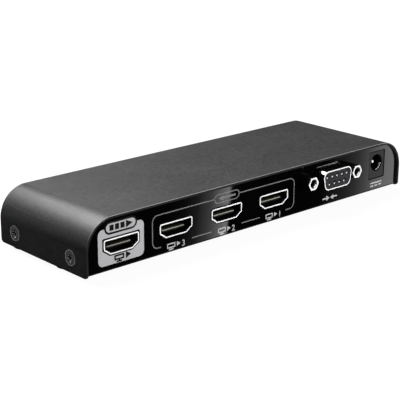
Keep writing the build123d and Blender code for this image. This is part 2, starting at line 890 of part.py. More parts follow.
def make_light_holders():
    """The black blocks that hold the status lights level above the board."""
    holders = []
    back = front_panel_y + light_length
    y = (back - light_holder_depth, back)
    for _, x in light_places():
        z = (board_top, front_axis_z + light_holder_above)
        holder = block(about(x, light_holder_width), y, z)
        holder -= rod(light_radius + light_gap, (x, y[0] - overrun, front_axis_z), (x, back, front_axis_z))
        pocket = (x, back - light_rim_thickness - light_gap, front_axis_z)
        holder -= rod(light_rim_radius + light_gap, pocket, (x, back + overrun, front_axis_z))
        holders.append(holder)
    return holders


def light_leg_places():
    """The place of each leg of the status lights where it goes through the board."""
    y = front_panel_y + light_length + light_leg_setback
    return [(leg, y) for _, x in light_places() for leg in row(x, len(sides), light_leg_pitch)]


def make_light_legs():
    """Two bent legs behind each status light."""
    back = front_panel_y + light_length
    half = light_leg_size / 2
    z = front_axis_z
    low = board_z - pin_stand_out
    legs = []
    for x, y in light_leg_places():
        side_view = [(back, z - half), (back, z + half), (y + half, z + half), (y + half, low)]
        side_view += [(y - half, low), (y - half, z - half)]
        legs.append(along_x(outline(side_view), about(x, light_leg_size)))
    return legs


def button_planes():
    """The Y places along the button and switch: lip front, lip back, stem end and switch face."""
    lip_front = front_wall_inner + button_stop_gap
    lip_back = lip_front + button_lip_thickness
    stem_end = lip_back + button_stem_length
    return lip_front, lip_back, stem_end, stem_end + switch_plunger_out


def make_select_button():
    """The select button: a cap, a lip that stops it behind the wall and a short stem."""
    lip_front, lip_back, stem_end, _ = button_planes()
    cap_face = rounded(about(button_x, button_width), about(front_axis_z, button_height), button_corner)
    cap = along_y(cap_face, (front_panel_y - button_proud, lip_front))
    cap = fillet(cap.faces().sort_by(Axis.Y)[0].edges(), button_edge_radius)
    lip_width = about(button_x, button_width + 2 * button_lip)
    lip_face = rounded(lip_width, about(front_axis_z, button_height + 2 * button_lip), button_corner)
    stem = rod(button_stem_radius, (button_x, lip_back, front_axis_z), (button_x, stem_end, front_axis_z))
    return cap + along_y(lip_face, (lip_front, lip_back)) + stem


def make_switch_plunger():
    """The push switch's plunger, which moves with the button."""
    _, _, stem_end, face = button_planes()
    end = (button_x, face + switch_plunger_in, front_axis_z)
    return rod(switch_plunger_radius, (button_x, stem_end, front_axis_z), end)


def make_switch_body():
    """The push switch's plastic body, with room for the plunger's travel."""
    _, _, _, face = button_planes()
    z = (board_top, board_top + switch_height)
    body = block(about(button_x, switch_width), (face, face + switch_depth), z)
    bore_end = face + switch_plunger_in + button_travel + switch_plunger_gap
    bore = rod(
        switch_plunger_radius + switch_plunger_gap,
        (button_x, face - overrun, front_axis_z),
        (button_x, bore_end, front_axis_z),
    )
    return body - bore


def switch_leg_places():
    """The places where the push switch's side legs and pins go through the board."""
    _, _, _, face = button_planes()
    y = face + switch_depth / 2
    legs = [(x, y) for x in row(button_x, len(sides), switch_width + switch_frame_sheet)]
    pin_y = face + switch_depth + switch_pin_size / 2
    pins = [(x, pin_y) for x in row(button_x, len(sides), switch_pin_pitch)]
    return legs, pins


def make_switch_frame():
    """The metal sides of the push switch with their legs, and its two pins."""
    _, _, _, face = button_planes()
    legs, pins = switch_leg_places()
    low = board_z - pin_stand_out
    pieces = []
    plate_y = (face, face + switch_depth)
    for x, y in legs:
        sheet = about(x, switch_frame_sheet)
        plate = block(sheet, plate_y, (board_top, board_top + switch_height))
        pieces.append(plate + block(sheet, about(y, switch_leg_width), (low, board_top)))
    for x, y in pins:
        pieces.append(block(about(x, switch_pin_size), about(y, switch_pin_size), (low, front_axis_z)))
    return pieces


def receiver_leg_places():
    """The places of the remote receiver's three legs."""
    back = front_wall_inner + window_lip_thickness + receiver_window_gap + receiver_dome_radius
    y = back + receiver_depth / 2
    return [(x, y) for x in row(window_x, receiver_leg_count, receiver_leg_pitch)]


def make_remote_receiver():
    """The remote receiver: a block with a round lens towards the window."""
    face = front_wall_inner + window_lip_thickness + receiver_window_gap + receiver_dome_radius
    z = about(front_axis_z, receiver_height)
    body = block(about(window_x, receiver_width), (face, face + receiver_depth), z)
    lens = Pos(window_x, face, front_axis_z) * Sphere(receiver_dome_radius)
    return body + lens


def make_receiver_legs():
    """Three straight legs under the remote receiver."""
    low = board_z - pin_stand_out
    high = front_axis_z - receiver_height / 2
    size = receiver_leg_size
    return [block(about(x, size), about(y, size), (low, high)) for x, y in receiver_leg_places()]


def chip_body(place, length, width, height):
    """A moulded chip that stands on its leads."""
    z = (board_top + lead_thickness, board_top + lead_thickness + height)
    return block(about(place[0], length), about(place[1], width), z)


def chip_lead_row(place, width, height, count, pitch, lead):
    """The bent leads along the front and rear edges of a chip."""
    middle = board_top + lead_thickness + height / 2
    top = middle + lead_thickness
    foot = board_top + lead_thickness
    leads = []
    for side in sides:
        edge = place[1] + side * width / 2
        knee = edge + side * lead_knee
        shin = knee + side * lead_thickness
        toe = edge + side * lead_reach
        side_view = [(edge, middle), (edge, top), (shin, top), (shin, foot), (toe, foot), (toe, board_top)]
        side_view += [(knee, board_top), (knee, middle)]
        leads += [along_x(outline(side_view), about(x, lead)) for x in row(place[0], count, pitch)]
    return leads


def make_switch_chip_leads():
    """The fine leads round all four edges of the main switching chip."""
    size = (switch_chip_side, switch_chip_height, switch_chip_lead_count, switch_chip_pitch, switch_chip_lead)
    x, y = board_place(switch_chip_shares)
    leads = chip_lead_row((x, y), *size)
    turn = Pos(x, y) * Rot(0, 0, 90) * Pos(-x, -y)
    return leads + [turn * lead for lead in leads]


def driver_chip_place():
    """The serial line driver's place, straight behind its socket."""
    return serial_x, board_place((0, driver_chip_depth_share))[1]


def make_crystal():
    """The crystal's oval metal can on its rim."""
    chip_edge = board_place(control_chip_shares)[0] - control_chip_length / 2
    x = chip_edge - crystal_chip_gap - crystal_rim - crystal_length / 2
    place = Pos(x, board_place((0, crystal_depth_share))[1])
    can = along_z(place * SlotOverall(crystal_length, crystal_width), (board_top, board_top + crystal_height))
    can = fillet(can.faces().sort_by(Axis.Z)[-1].edges(), crystal_rim)
    rim = place * SlotOverall(crystal_length + 2 * crystal_rim, crystal_width + 2 * crystal_rim)
    return can + along_z(rim, (board_top, board_top + crystal_rim_height))


def make_regulator():
    """The voltage regulator's moulded body, and its tab and leads as separate pieces."""
    x, y = board_place(regulator_shares)
    edge = regulator_length / 2
    body_z = (board_top, board_top + regulator_height)
    tab_z = (board_top, board_top + regulator_tab_thickness)
    body = block(about(x, regulator_width), about(y, regulator_length), body_z)
    tab_y = (y + edge, y + edge + regulator_tab_length)
    metal = [block(about(x, regulator_tab_width), tab_y, tab_z)]
    lead_y = (y - edge - regulator_tab_length, y - edge)
    for lead_x in row(x, len(sides), regulator_lead_pitch):
        metal.append(block(about(lead_x, regulator_lead_width), lead_y, tab_z))
    return body, metal


def make_inductor():
    """The shielded power inductor, a square block with cut corners and a dished top."""
    x, y = board_place(inductor_shares)
    top = board_top + inductor_height
    square = Pos(x, y) * Rectangle(inductor_side, inductor_side)
    body = along_z(chamfer(square.vertices(), inductor_corner), (board_top, top))
    return body - rod(inductor_dish_radius, (x, y, top), (x, y, top - inductor_dish_depth))


def make_capacitors():
    """The electrolytic capacitors: their metal cans and the square bases that they stand on."""
    cans = []
    bases = []
    base_top = board_top + can_base_height
    for shares in can_place_shares:
        x, y = board_place(shares)
        square = Pos(x, y) * Rectangle(can_base_side, can_base_side)
        corners = square.vertices().sort_by(Axis.Y)[-2:]
        bases.append(along_z(chamfer(corners, can_base_corner), (board_top, base_top)))
        can = rod(can_radius, (x, y, base_top), (x, y, base_top + can_height))
        cans.append(fillet(can.edges().sort_by(Axis.Z)[-1], can_edge_radius))
    return cans, bases


def make_protectors():
    """One small protection part behind each video socket."""
    y = about(rear_y - protector_inset, protector_width)
    z = (board_top, board_top + protector_height)
    return [block(about(x, protector_length), y, z) for _, x in video_sockets()]


def small_parts(places, counts, height):
    """Rows of small two-ended parts, each row given by its middle and by its count."""
    parts = []
    size_z = (board_top, board_top + height)
    for (middle, y), count in zip(places, counts):
        for x in row(middle, count, small_part_pitch):
            parts.append(block(about(x, small_part_width), about(y, small_part_length), size_z))
    return parts


def ceramic_row_places():
    """The middles of the capacitor rows: beside the main chip, on their own, and beside the two small chips."""
    side = switch_chip_side / 2 + lead_reach + chip_part_gap + small_part_width / 2
    span = (ceramic_row_counts[0] - 1) * small_part_pitch
    beside_main = (board_place(switch_chip_shares)[0] + side + span / 2, board_place((0, ceramic_near_share))[1])
    beside_chip = lead_reach + chip_part_gap + small_part_length / 2
    driver_aside, control_aside = [share * half_length for share in ceramic_aside_shares]
    driver_x, driver_y = driver_chip_place()
    behind_driver = (driver_x + driver_aside, driver_y - driver_chip_width / 2 - beside_chip)
    control_x, control_y = board_place(control_chip_shares)
    behind_control = (control_x + control_aside, control_y + control_chip_width / 2 + beside_chip)
    return [beside_main, board_place(ceramic_free_shares), behind_driver, behind_control]


def board_slots():
    """The size and place of every square hole in the board, from the pins that go through it."""
    slots = []
    mouth_y = rear_panel_y + video_rim_proud
    for _, socket_x in video_sockets():
        for x, y in video_leg_places():
            slots.append((socket_x + x, mouth_y + y, video_shell_wall, video_leg_length))
    for x, _, drop in serial_contact_places():
        slots.append((serial_x + x, rear_wall_inner - drop, serial_pin_width, serial_pin_width))
    for x, y in bracket_lock_places():
        slots.append((serial_x + x, rear_wall_inner + y, bracket_lock_width, bracket_lock_length))
    face_y = rear_panel_y - power_recess
    spring_end = -power_spring_setback - power_spring_length
    spring_y = face_y + spring_end - power_blade_sheet / 2
    slots.append((power_x, spring_y, power_spring_width, power_blade_sheet))
    slots.append((power_x, face_y - power_depth - power_blade_sheet / 2, power_blade_width, power_blade_sheet))
    side_x = power_x + (power_width + power_blade_sheet) / 2
    slots.append((side_x, face_y + (spring_end - power_depth) / 2, power_blade_sheet, power_blade_width))
    slots += [(x, y, light_leg_size, light_leg_size) for x, y in light_leg_places()]
    slots += [(x, y, receiver_leg_size, receiver_leg_size) for x, y in receiver_leg_places()]
    legs, pins = switch_leg_places()
    slots += [(x, y, switch_frame_sheet, switch_leg_width) for x, y in legs]
    slots += [(x, y, switch_pin_size, switch_pin_size) for x, y in pins]
    return slots


def make_circuit_board():
    """The circuit board, with a hole for every fixing, leg and pin."""
    face = Pos(0, (board_front + board_rear) / 2) * Rectangle(2 * board_half, board_rear - board_front)
    for x, y in fixing_places():
        face -= Pos(x, y) * Circle(board_screw_radius + pin_gap)
    for x, y, width, length in board_slots():
        face -= Pos(x, y) * Rectangle(width + 2 * pin_gap, length + 2 * pin_gap)
    return along_z(face, (board_z, board_top))


def build_nodes():
    """Every node's name with its solid, or with the list of its solids."""
    nodes = {
        "top_cover": make_top_cover(),
        "bottom_tray": make_bottom_tray(),
        "rear_panel": make_rear_panel(),
        "front_panel": make_front_panel(),
        "side_screws": make_side_screws(),
        "side_nuts": make_side_nuts(),
        "board_standoffs": make_standoffs(),
        "board_screws": make_board_screws(),
        "circuit_board": make_circuit_board(),
    }
    for name, x, y in foot_places():
        nodes[name] = make_foot(x, y)

    shell = make_video_shell()
    contacts = make_video_contacts()
    tongue = make_video_block(contacts)
    for name, x in video_sockets():
        place = Pos(x, rear_panel_y + video_rim_proud, video_z)
        nodes[f"{name}_shell"] = place * shell
        nodes[f"{name}_tongue"] = place * tongue
        nodes[f"{name}_contacts"] = [place * strip for strip in contacts]

    serial = Pos(serial_x, rear_wall_inner, serial_z)
    nodes["serial_shell"] = serial * make_serial_shell()
    nodes["serial_insulator"] = serial * make_serial_insulator()
    nodes["serial_contacts"] = [serial * contact for contact in make_serial_contacts()]
    nodes["serial_brackets"] = [serial * bracket for bracket in make_serial_brackets()]
    nodes["serial_jack_screws"] = make_jack_screws()

    power = Pos(power_x, rear_panel_y - power_recess, power_z)
    body, pin, spring, blades = make_power_jack()
    nodes["power_jack_body"] = power * body
    nodes["power_jack_pin"] = power * pin
    nodes["power_jack_spring"] = power * spring
    nodes["power_jack_blades"] = [power * blade for blade in blades]

    nodes["front_window"] = make_front_window()
    nodes["remote_receiver"] = make_remote_receiver()
    for name, x in light_places():
        nodes[name] = make_status_light(x)
    nodes["status_light_holders"] = make_light_holders()
    nodes["light_and_receiver_legs"] = make_light_legs() + make_receiver_legs()
    nodes["select_button"] = make_select_button()
    nodes["switch_plunger"] = make_switch_plunger()
    nodes["switch_body"] = make_switch_body()
    nodes["switch_frame"] = make_switch_frame()

    side = switch_chip_side
    nodes["switch_chip"] = chip_body(board_place(switch_chip_shares), side, side, switch_chip_height)
    nodes["switch_chip_leads"] = make_switch_chip_leads()
    control = board_place(control_chip_shares)
    nodes["control_chip"] = chip_body(control, control_chip_length, control_chip_width, control_chip_height)
    driver = driver_chip_place()
    nodes["driver_chip"] = chip_body(driver, driver_chip_length, driver_chip_width, driver_chip_height)
    wide = (wide_lead_pitch, wide_lead)
    leads = chip_lead_row(control, control_chip_width, control_chip_height, control_chip_lead_count, *wide)
    leads += chip_lead_row(driver, driver_chip_width, driver_chip_height, driver_chip_lead_count, *wide)
    nodes["small_chip_leads"] = leads
    nodes["crystal"] = make_crystal()
    nodes["voltage_regulator"], nodes["regulator_metal"] = make_regulator()
    nodes["power_inductor"] = make_inductor()
    nodes["capacitor_cans"], nodes["capacitor_bases"] = make_capacitors()
    nodes["socket_protectors"] = make_protectors()
    places = [board_place(shares) for shares in resistor_row_shares]
    nodes["small_resistors"] = small_parts(places, resistor_row_counts, resistor_height)
    nodes["small_capacitors"] = small_parts(ceramic_row_places(), ceramic_row_counts, ceramic_height)
    return nodes


os.makedirs("parts", exist_ok=True)
all_nodes = build_nodes()
for node_name, shape in all_nodes.items():
    if isinstance(shape, list):
        shape = Compound(children=[solid for piece in shape for solid in piece.solids()])
    export_step(shape, f"parts/{node_name}.step")
print(len(all_nodes), "nodes")
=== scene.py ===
# %% [markdown]
# This lesson dresses a small video switch box: a bent metal cover, a glossy black panel with sockets and
# a few printed marks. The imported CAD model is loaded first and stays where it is, in metres. Every later
# piece is placed from the sizes of its nodes, so nothing has to be fitted by eye.

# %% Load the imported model
import json
import math

import bmesh
import bpy
from mathutils import Matrix, Vector


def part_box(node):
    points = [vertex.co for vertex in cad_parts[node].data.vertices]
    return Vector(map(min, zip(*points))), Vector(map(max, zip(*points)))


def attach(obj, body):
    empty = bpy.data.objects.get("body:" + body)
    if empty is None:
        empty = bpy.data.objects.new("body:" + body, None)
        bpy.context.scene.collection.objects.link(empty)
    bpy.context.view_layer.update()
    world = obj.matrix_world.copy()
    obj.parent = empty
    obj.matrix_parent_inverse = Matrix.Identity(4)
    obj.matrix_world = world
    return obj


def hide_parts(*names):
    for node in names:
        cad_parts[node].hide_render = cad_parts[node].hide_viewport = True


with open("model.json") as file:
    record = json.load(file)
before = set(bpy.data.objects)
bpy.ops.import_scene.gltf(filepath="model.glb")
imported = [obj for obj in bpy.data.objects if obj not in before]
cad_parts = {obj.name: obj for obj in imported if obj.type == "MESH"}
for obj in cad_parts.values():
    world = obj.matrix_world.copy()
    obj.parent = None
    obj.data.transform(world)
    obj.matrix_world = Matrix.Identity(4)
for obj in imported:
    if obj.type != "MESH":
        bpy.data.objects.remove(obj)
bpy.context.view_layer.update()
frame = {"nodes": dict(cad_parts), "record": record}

MM = 0.001
slot_of = {part["node"]: part["material_slot"] for part in frame["record"]["subparts"]}
body_of = {node: body for body, nodes in frame["record"]["behaviour"]["bodies"].items() for node in nodes}

# %% [markdown]
# The camera stands behind the box, to its left and a little above, with a long lens, as a product
# photographer would place it. Its place and aim were solved from the straight edges of the case. A turn
# about Z, a tilt and a small roll give its direction, which is easier to read and to correct than a
# matrix of numbers.

# %% Camera
lens_length = 105.4
camera_place = (0.29125, 0.30818, 0.14244)
turn_degrees, height_degrees, roll_degrees = 137.6, 17.757, 0.25
camera_data = bpy.data.cameras.new("studio_camera")
camera_data.sensor_width = 36.0
camera_data.lens = lens_length
camera_data.clip_start = 0.01
camera = bpy.data.objects.new("studio_camera", camera_data)
turn = Matrix.Rotation(math.radians(turn_degrees), 4, "Z")
tilt = Matrix.Rotation(math.radians(90.0 - height_degrees), 4, "X")
roll = Matrix.Rotation(math.radians(roll_degrees), 4, "Z")
camera.matrix_world = Matrix.Translation(camera_place) @ turn @ tilt @ roll
bpy.context.scene.collection.objects.link(camera)
bpy.context.scene.camera = camera
bpy.context.scene.view_settings.view_transform = "Standard"
print("camera looks along", [round(v, 3) for v in turn @ tilt @ Vector((0, 0, -1))])

# %% [markdown]
# Shader trees are easier to follow when each node is added and filled in one line. These five small
# helpers add a node with its values, mix two colours by a mask, carry a value from one range onto
# another, join two values, and split a place on the object into its axes. Every finish below uses them.

# %% Helpers for shader nodes


def add_node(tree, kind, values=None, **settings):
    """A shader node with its settings and with values in its inputs."""
    node = tree.nodes.new(kind)
    for key, value in settings.items():
        setattr(node, key, value)
    for key, value in (values or {}).items():
        node.inputs[key].default_value = value
    return node


def mix_colors(tree, mask, low, high):
    """The colour socket of a mix of two colours by a mask; a colour is a socket or three numbers."""
    node = add_node(tree, "ShaderNodeMix", data_type="RGBA")
    tree.links.new(mask, node.inputs[0])
    for value, socket in ((low, node.inputs[6]), (high, node.inputs[7])):
        if isinstance(value, bpy.types.NodeSocket):
            tree.links.new(value, socket)
        else:
            socket.default_value = (*value, 1.0)
    return node.outputs[2]


def map_value(tree, value, low, high, start=0.0, end=1.0):
    """The socket of a value carried from the range start to end onto the range low to high."""
    ranges = {"From Min": start, "From Max": end, "To Min": low, "To Max": high}
    node = add_node(tree, "ShaderNodeMapRange", ranges)
    tree.links.new(value, node.inputs["Value"])
    return node.outputs["Result"]


def add_values(tree, first, second, operation="ADD"):
    """The socket of two values added, or joined by another operation; the second may be a number."""
    node = add_node(tree, "ShaderNodeMath", operation=operation)
    tree.links.new(first, node.inputs[0])
    if isinstance(second, bpy.types.NodeSocket):
        tree.links.new(second, node.inputs[1])
    else:
        node.inputs[1].default_value = second
    return node.outputs[0]


def object_axes(tree):
    """A node with the X, Y and Z of a place on the object, in metres."""
    place = tree.nodes.new("ShaderNodeTexCoord")
    axes = tree.nodes.new("ShaderNodeSeparateXYZ")
    tree.links.new(place.outputs["Object"], axes.inputs[0])
    return axes


print("helpers for shader nodes ready")

# %% [markdown]
# Every new shape is drawn as a bmesh, because its operators need no window and no selection. A finished
# drawing becomes an object at the origin, always by the same steps, with its place kept in its mesh as a
# CAD node's is. One helper does this for every new object. A second one dresses the pieces of the box,
# which also need a material and a body to ride on.

# %% Helpers for new objects


def make_object(name, bm):
    """An object of the scene from a drawing, which is freed."""
    mesh = bpy.data.meshes.new(name)
    bm.to_mesh(mesh)
    bm.free()
    thing = bpy.data.objects.new(name, mesh)
    bpy.context.scene.collection.objects.link(thing)
    return thing


def dress_piece(piece, material, body="case"):
    """Gives a piece of the box its material and lets it ride on its body."""
    piece.data.materials.append(material)
    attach(piece, body)


print("helpers for new objects ready")

# %% [markdown]
# The box stands on a plain white table in soft light. The floor and the world show as white to the camera
# and to reflections, and stay weak for the diffuse light, so that only the lamps model the shapes. The
# floor glows a little less beside the box, a painted shade round it, and keeps part of its real shading,
# and with it the faint shadow under the box.

# %% Floor and world


def background_rays(tree):
    """One where a ray comes from the camera or from a reflection or refraction, else zero."""
    path = tree.nodes.new("ShaderNodeLightPath")
    total = add_values(tree, path.outputs["Is Camera Ray"], path.outputs["Is Glossy Ray"], "MAXIMUM")
    return add_values(tree, total, path.outputs["Is Transmission Ray"], "MAXIMUM")


floor_tone = 0.08
# The lower glow beside the box is a painted shade round it.
glow_beside_box, glow_far_off = 0.95, 1.0
glow_start, glow_end = 0.1, 0.3


def make_floor():
    """A wide pale floor that shows as white and keeps the shadow of what stands on it."""
    bm = bmesh.new()
    bmesh.ops.create_grid(bm, x_segments=1, y_segments=1, size=6.0)
    floor = make_object("studio_floor", bm)
    material = bpy.data.materials.new("studio_floor")
    material.use_nodes = True
    tree = material.node_tree
    tree.nodes.clear()
    diffuse = add_node(tree, "ShaderNodeBsdfDiffuse", {"Color": (floor_tone, floor_tone, floor_tone, 1.0)})
    place = tree.nodes.new("ShaderNodeTexCoord")
    reach = add_node(tree, "ShaderNodeVectorMath", operation="LENGTH")
    tree.links.new(place.outputs["Object"], reach.inputs[0])
    level = map_value(tree, reach.outputs["Value"], glow_beside_box, glow_far_off, glow_start, glow_end)
    glow = tree.nodes.new("ShaderNodeEmission")
    tree.links.new(add_values(tree, background_rays(tree), level, "MULTIPLY"), glow.inputs["Strength"])
    both = tree.nodes.new("ShaderNodeAddShader")
    tree.links.new(diffuse.outputs[0], both.inputs[0])
    tree.links.new(glow.outputs[0], both.inputs[1])
    output = tree.nodes.new("ShaderNodeOutputMaterial")
    tree.links.new(both.outputs[0], output.inputs["Surface"])
    floor.data.materials.append(material)
    floor.visible_diffuse = False


def make_world(fill):
    """A world that is white to look at and gives a weak even fill."""
    world = bpy.data.worlds.new("studio_world")
    bpy.context.scene.world = world
    world.use_nodes = True
    tree = world.node_tree
    backdrop = tree.nodes["Background"]
    backdrop.inputs["Color"].default_value = (1.0, 1.0, 1.0, 1.0)
    tree.links.new(map_value(tree, background_rays(tree), fill, 1.0), backdrop.inputs["Strength"])


make_floor()
make_world(fill=0.14)
print("floor and world made, the floor's own tone is", floor_tone)

# %% [markdown]
# Two soft boxes light the set. The key hangs above the box and beyond it: it lights the top and draws the
# bright band along the rounded edge nearest the camera. A second one stands before the sockets, off to
# the right, and lights the panel, the label and the metal rims, but leaves the near end face in shade, as
# in the photograph.

# %% Lamps


def soft_lamp(name, place, aim, width, height, power):
    """A rectangular soft box that points at a place."""
    data = bpy.data.lights.new(name, "AREA")
    data.shape = "RECTANGLE"
    data.size = width
    data.size_y = height
    data.energy = power
    lamp = bpy.data.objects.new(name, data)
    place = Vector(place)
    direction = (Vector(aim) - place).to_track_quat("-Z", "Y")
    lamp.matrix_world = Matrix.Translation(place) @ direction.to_matrix().to_4x4()
    bpy.context.scene.collection.objects.link(lamp)
    return lamp


key_place, key_aim = (0.09, -0.27, 0.45), (0.06, 0.0, 0.02)
key_lamp = soft_lamp("key_lamp", key_place, key_aim, width=0.42, height=0.32, power=4.9)
socket_lamp_place, socket_lamp_aim = (-0.28, 0.86, 0.17), (0.0, 0.02, 0.01)
socket_lamp = soft_lamp("socket_lamp", socket_lamp_place, socket_lamp_aim, width=0.5, height=0.25, power=9.2)
print("lamps:", [lamp.name for lamp in (key_lamp, socket_lamp)])

# %% [markdown]
# A glossy black panel shows whatever lies before it. In the photograph it mirrors dark cards with a
# lighter sweep on them, which gives the two soft bands across the panel. One card with that sweep lies on
# the floor here, over a dark sheet, and a dark tent stands round the set. Only reflections see them, so
# they cast no shadow and the camera still sees the white floor behind them, while paint and metal turn
# dark wherever they don't mirror a lamp.

# %% Reflection cards


def floor_sheet(low, high, lift):
    """A flat sheet between two corners, at a height above the floor."""
    bm = bmesh.new()
    corners = [(low[0], low[1]), (high[0], low[1]), (high[0], high[1]), (low[0], high[1])]
    bm.faces.new([bm.verts.new((x, y, lift)) for x, y in corners])
    return bm


def reflection_card(name, bm, level):
    """A card that only reflections see, with an even glow, and its shader tree and glow node."""
    card = make_object(name, bm)
    material = bpy.data.materials.new(name)
    material.use_nodes = True
    tree = material.node_tree
    tree.nodes.clear()
    glow = add_node(tree, "ShaderNodeEmission", {"Strength": level})
    output = tree.nodes.new("ShaderNodeOutputMaterial")
    tree.links.new(glow.outputs[0], output.inputs["Surface"])
    card.data.materials.append(material)
    for ray in ("camera", "diffuse", "transmission", "volume_scatter", "shadow"):
        setattr(card, f"visible_{ray}", False)
    return tree, glow


def paint_sweep(tree, glow, stops, start, end):
    """Gives a card a sweep of light whose mirror image follows stops between two X places on the panel."""
    axes = object_axes(tree)
    # The line from the camera's mirror image through a place on the card meets the panel at a fixed X.
    away = add_values(tree, axes.outputs["Y"], -mirror_camera.y)
    share = add_node(tree, "ShaderNodeMath", {0: panel_y - mirror_camera.y}, operation="DIVIDE")
    tree.links.new(away, share.inputs[1])
    side = add_values(tree, axes.outputs["X"], -mirror_camera.x)
    meets = add_values(tree, add_values(tree, side, share.outputs[0], "MULTIPLY"), mirror_camera.x)
    # On a floor card that line meets the panel higher up the smaller the share is.
    rise = map_value(tree, share.outputs[0], sweep_slant * mirror_camera.z, 0.0)
    meets = add_values(tree, add_values(tree, meets, rise), -sweep_slant * sweep_height)
    ramp = tree.nodes.new("ShaderNodeValToRGB")
    ramp.color_ramp.elements.remove(ramp.color_ramp.elements[1])
    for i, (x, level) in enumerate(stops):
        at = (x * MM - start) / (end - start)
        stop = ramp.color_ramp.elements[0] if i == 0 else ramp.color_ramp.elements.new(at)
        stop.position = at
        stop.color = (level, level, level, 1.0)
    tree.links.new(map_value(tree, meets, 0.0, 1.0, start, end), ramp.inputs["Fac"])
    tree.links.new(ramp.outputs["Color"], glow.inputs["Color"])


panel_low, panel_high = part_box("rear_panel")
panel_y = panel_high.y
mirror_camera = Vector((camera.location.x, 2 * panel_y - camera.location.y, camera.location.z))
sweep_slant = 0.12
sweep_height = 12 * MM
sweep = ((-82, 0.75), (-76, 0.7), (-66, 0.5), (-60, 0.27), (-54, 0.13), (-48, 0.07), (-42, 0.04),
         (-36, 0.01), (-33.5, 0.001), (15.3, 0.001), (15.6, 0.95), (19, 0.68), (25, 0.24), (31, 0.06),
         (37, 0.015), (44, 0.001))
sweep_low, sweep_high = (-1.8, panel_y + 0.002), (1.4, 1.8)
tree, glow = reflection_card("sweep_card", floor_sheet(sweep_low, sweep_high, lift=0.0004), level=3.0)
paint_sweep(tree, glow, sweep, start=-0.09, end=0.09)
reflection_card("dark_sheet", floor_sheet((-2.5, -2.5), (2.5, 2.5), lift=0.0002), level=0.001)
bm = bmesh.new()
bmesh.ops.create_icosphere(bm, subdivisions=3, radius=3.0)
reflection_card("dark_tent", bm, level=0.006)
print("cards and tent made, panel plane at Y", round(panel_y / MM, 2))

# %% [markdown]
# Real surfaces are never one even colour. Four effects are used by nearly every finish: a fine grain,
# brighter worn edges, dust that settles on what faces up, and smudges left by hands. Each is a node group
# with its own inputs, so every material sets its own size and strength. They read Object coordinates, in
# metres.

# %% Node groups for grain, edges, dust and smudges


def new_group(name, inputs, outputs):
    """A shader node group with number inputs and outputs, and its input and output nodes."""
    tree = bpy.data.node_groups.new(name, "ShaderNodeTree")
    for socket, value in inputs:
        made = tree.interface.new_socket(name=socket, in_out="INPUT", socket_type="NodeSocketFloat")
        made.default_value = value
    for socket in outputs:
        tree.interface.new_socket(name=socket, in_out="OUTPUT", socket_type="NodeSocketFloat")
    return tree, tree.nodes.new("NodeGroupInput"), tree.nodes.new("NodeGroupOutput")


def object_noise(tree, scale, detail=2.0, roughness=0.5):
    """A noise on Object coordinates; its scale is a socket or a number."""
    place = tree.nodes.new("ShaderNodeTexCoord")
    noise = add_node(tree, "ShaderNodeTexNoise", {"Detail": detail, "Roughness": roughness})
    tree.links.new(place.outputs["Object"], noise.inputs["Vector"])
    if isinstance(scale, bpy.types.NodeSocket):
        tree.links.new(scale, noise.inputs["Scale"])
    else:
        noise.inputs["Scale"].default_value = scale
    return noise.outputs["Fac"]


# Height is the fine grain alone. Tone adds a slow cloud to it, so that a wide surface isn't even.
grain_inputs = (("Scale", 2000.0), ("Contrast", 1.0))
grain_group, group_in, group_out = new_group("fine_grain", grain_inputs, ("Height", "Tone"))
fine = add_values(grain_group, object_noise(grain_group, group_in.outputs["Scale"], 3.0, 0.6), -0.5)
spread = add_values(grain_group, fine, group_in.outputs["Contrast"], "MULTIPLY")
tone = add_values(grain_group, add_values(grain_group, spread, 1.6, "MULTIPLY"), 0.5)
cloud = add_values(grain_group, object_noise(grain_group, 22.0, 2.0, 0.5), -0.5)
tone = add_values(grain_group, tone, add_values(grain_group, cloud, 0.5, "MULTIPLY"))
grain_group.links.new(add_values(grain_group, spread, 0.5), group_out.inputs["Height"])
grain_group.links.new(tone, group_out.inputs["Tone"])

# A rounded normal leaves the true one only near an edge, and a noise breaks that line up.
edge_group, group_in, group_out = new_group("worn_edges", (("Width", 0.0003), ("Amount", 0.5)), ("Mask",))
rounded_normal = add_node(edge_group, "ShaderNodeBevel", samples=4)
edge_group.links.new(group_in.outputs["Width"], rounded_normal.inputs["Radius"])
surface = edge_group.nodes.new("ShaderNodeNewGeometry")
agree = add_node(edge_group, "ShaderNodeVectorMath", operation="DOT_PRODUCT")
edge_group.links.new(rounded_normal.outputs[0], agree.inputs[0])
edge_group.links.new(surface.outputs["Normal"], agree.inputs[1])
edge = map_value(edge_group, agree.outputs["Value"], 0.0, 1.0, 0.995, 0.85)
broken = map_value(edge_group, object_noise(edge_group, 900.0, 3.0, 0.65), 0.35, 1.0, 0.35, 0.65)
edge = add_values(edge_group, edge, broken, "MULTIPLY")
edge = add_values(edge_group, edge, group_in.outputs["Amount"], "MULTIPLY")
edge_group.links.new(edge, group_out.inputs["Mask"])

dust_group, group_in, group_out = new_group("settled_dust", (("Scale", 1400.0), ("Amount", 0.1)), ("Mask",))
surface = dust_group.nodes.new("ShaderNodeNewGeometry")
axes = dust_group.nodes.new("ShaderNodeSeparateXYZ")
dust_group.links.new(surface.outputs["Normal"], axes.inputs[0])
upward = map_value(dust_group, axes.outputs["Z"], 0.15, 1.0, -0.1, 0.9)
specks = object_noise(dust_group, group_in.outputs["Scale"], 2.0)
specks = map_value(dust_group, specks, 0.2, 1.0, 0.56, 0.72)
patches = map_value(dust_group, object_noise(dust_group, 40.0, 2.0), 0.4, 1.0, 0.35, 0.65)
dust = add_values(dust_group, add_values(dust_group, upward, specks, "MULTIPLY"), patches, "MULTIPLY")
dust = add_values(dust_group, dust, group_in.outputs["Amount"], "MULTIPLY")
dust_group.links.new(dust, group_out.inputs["Mask"])

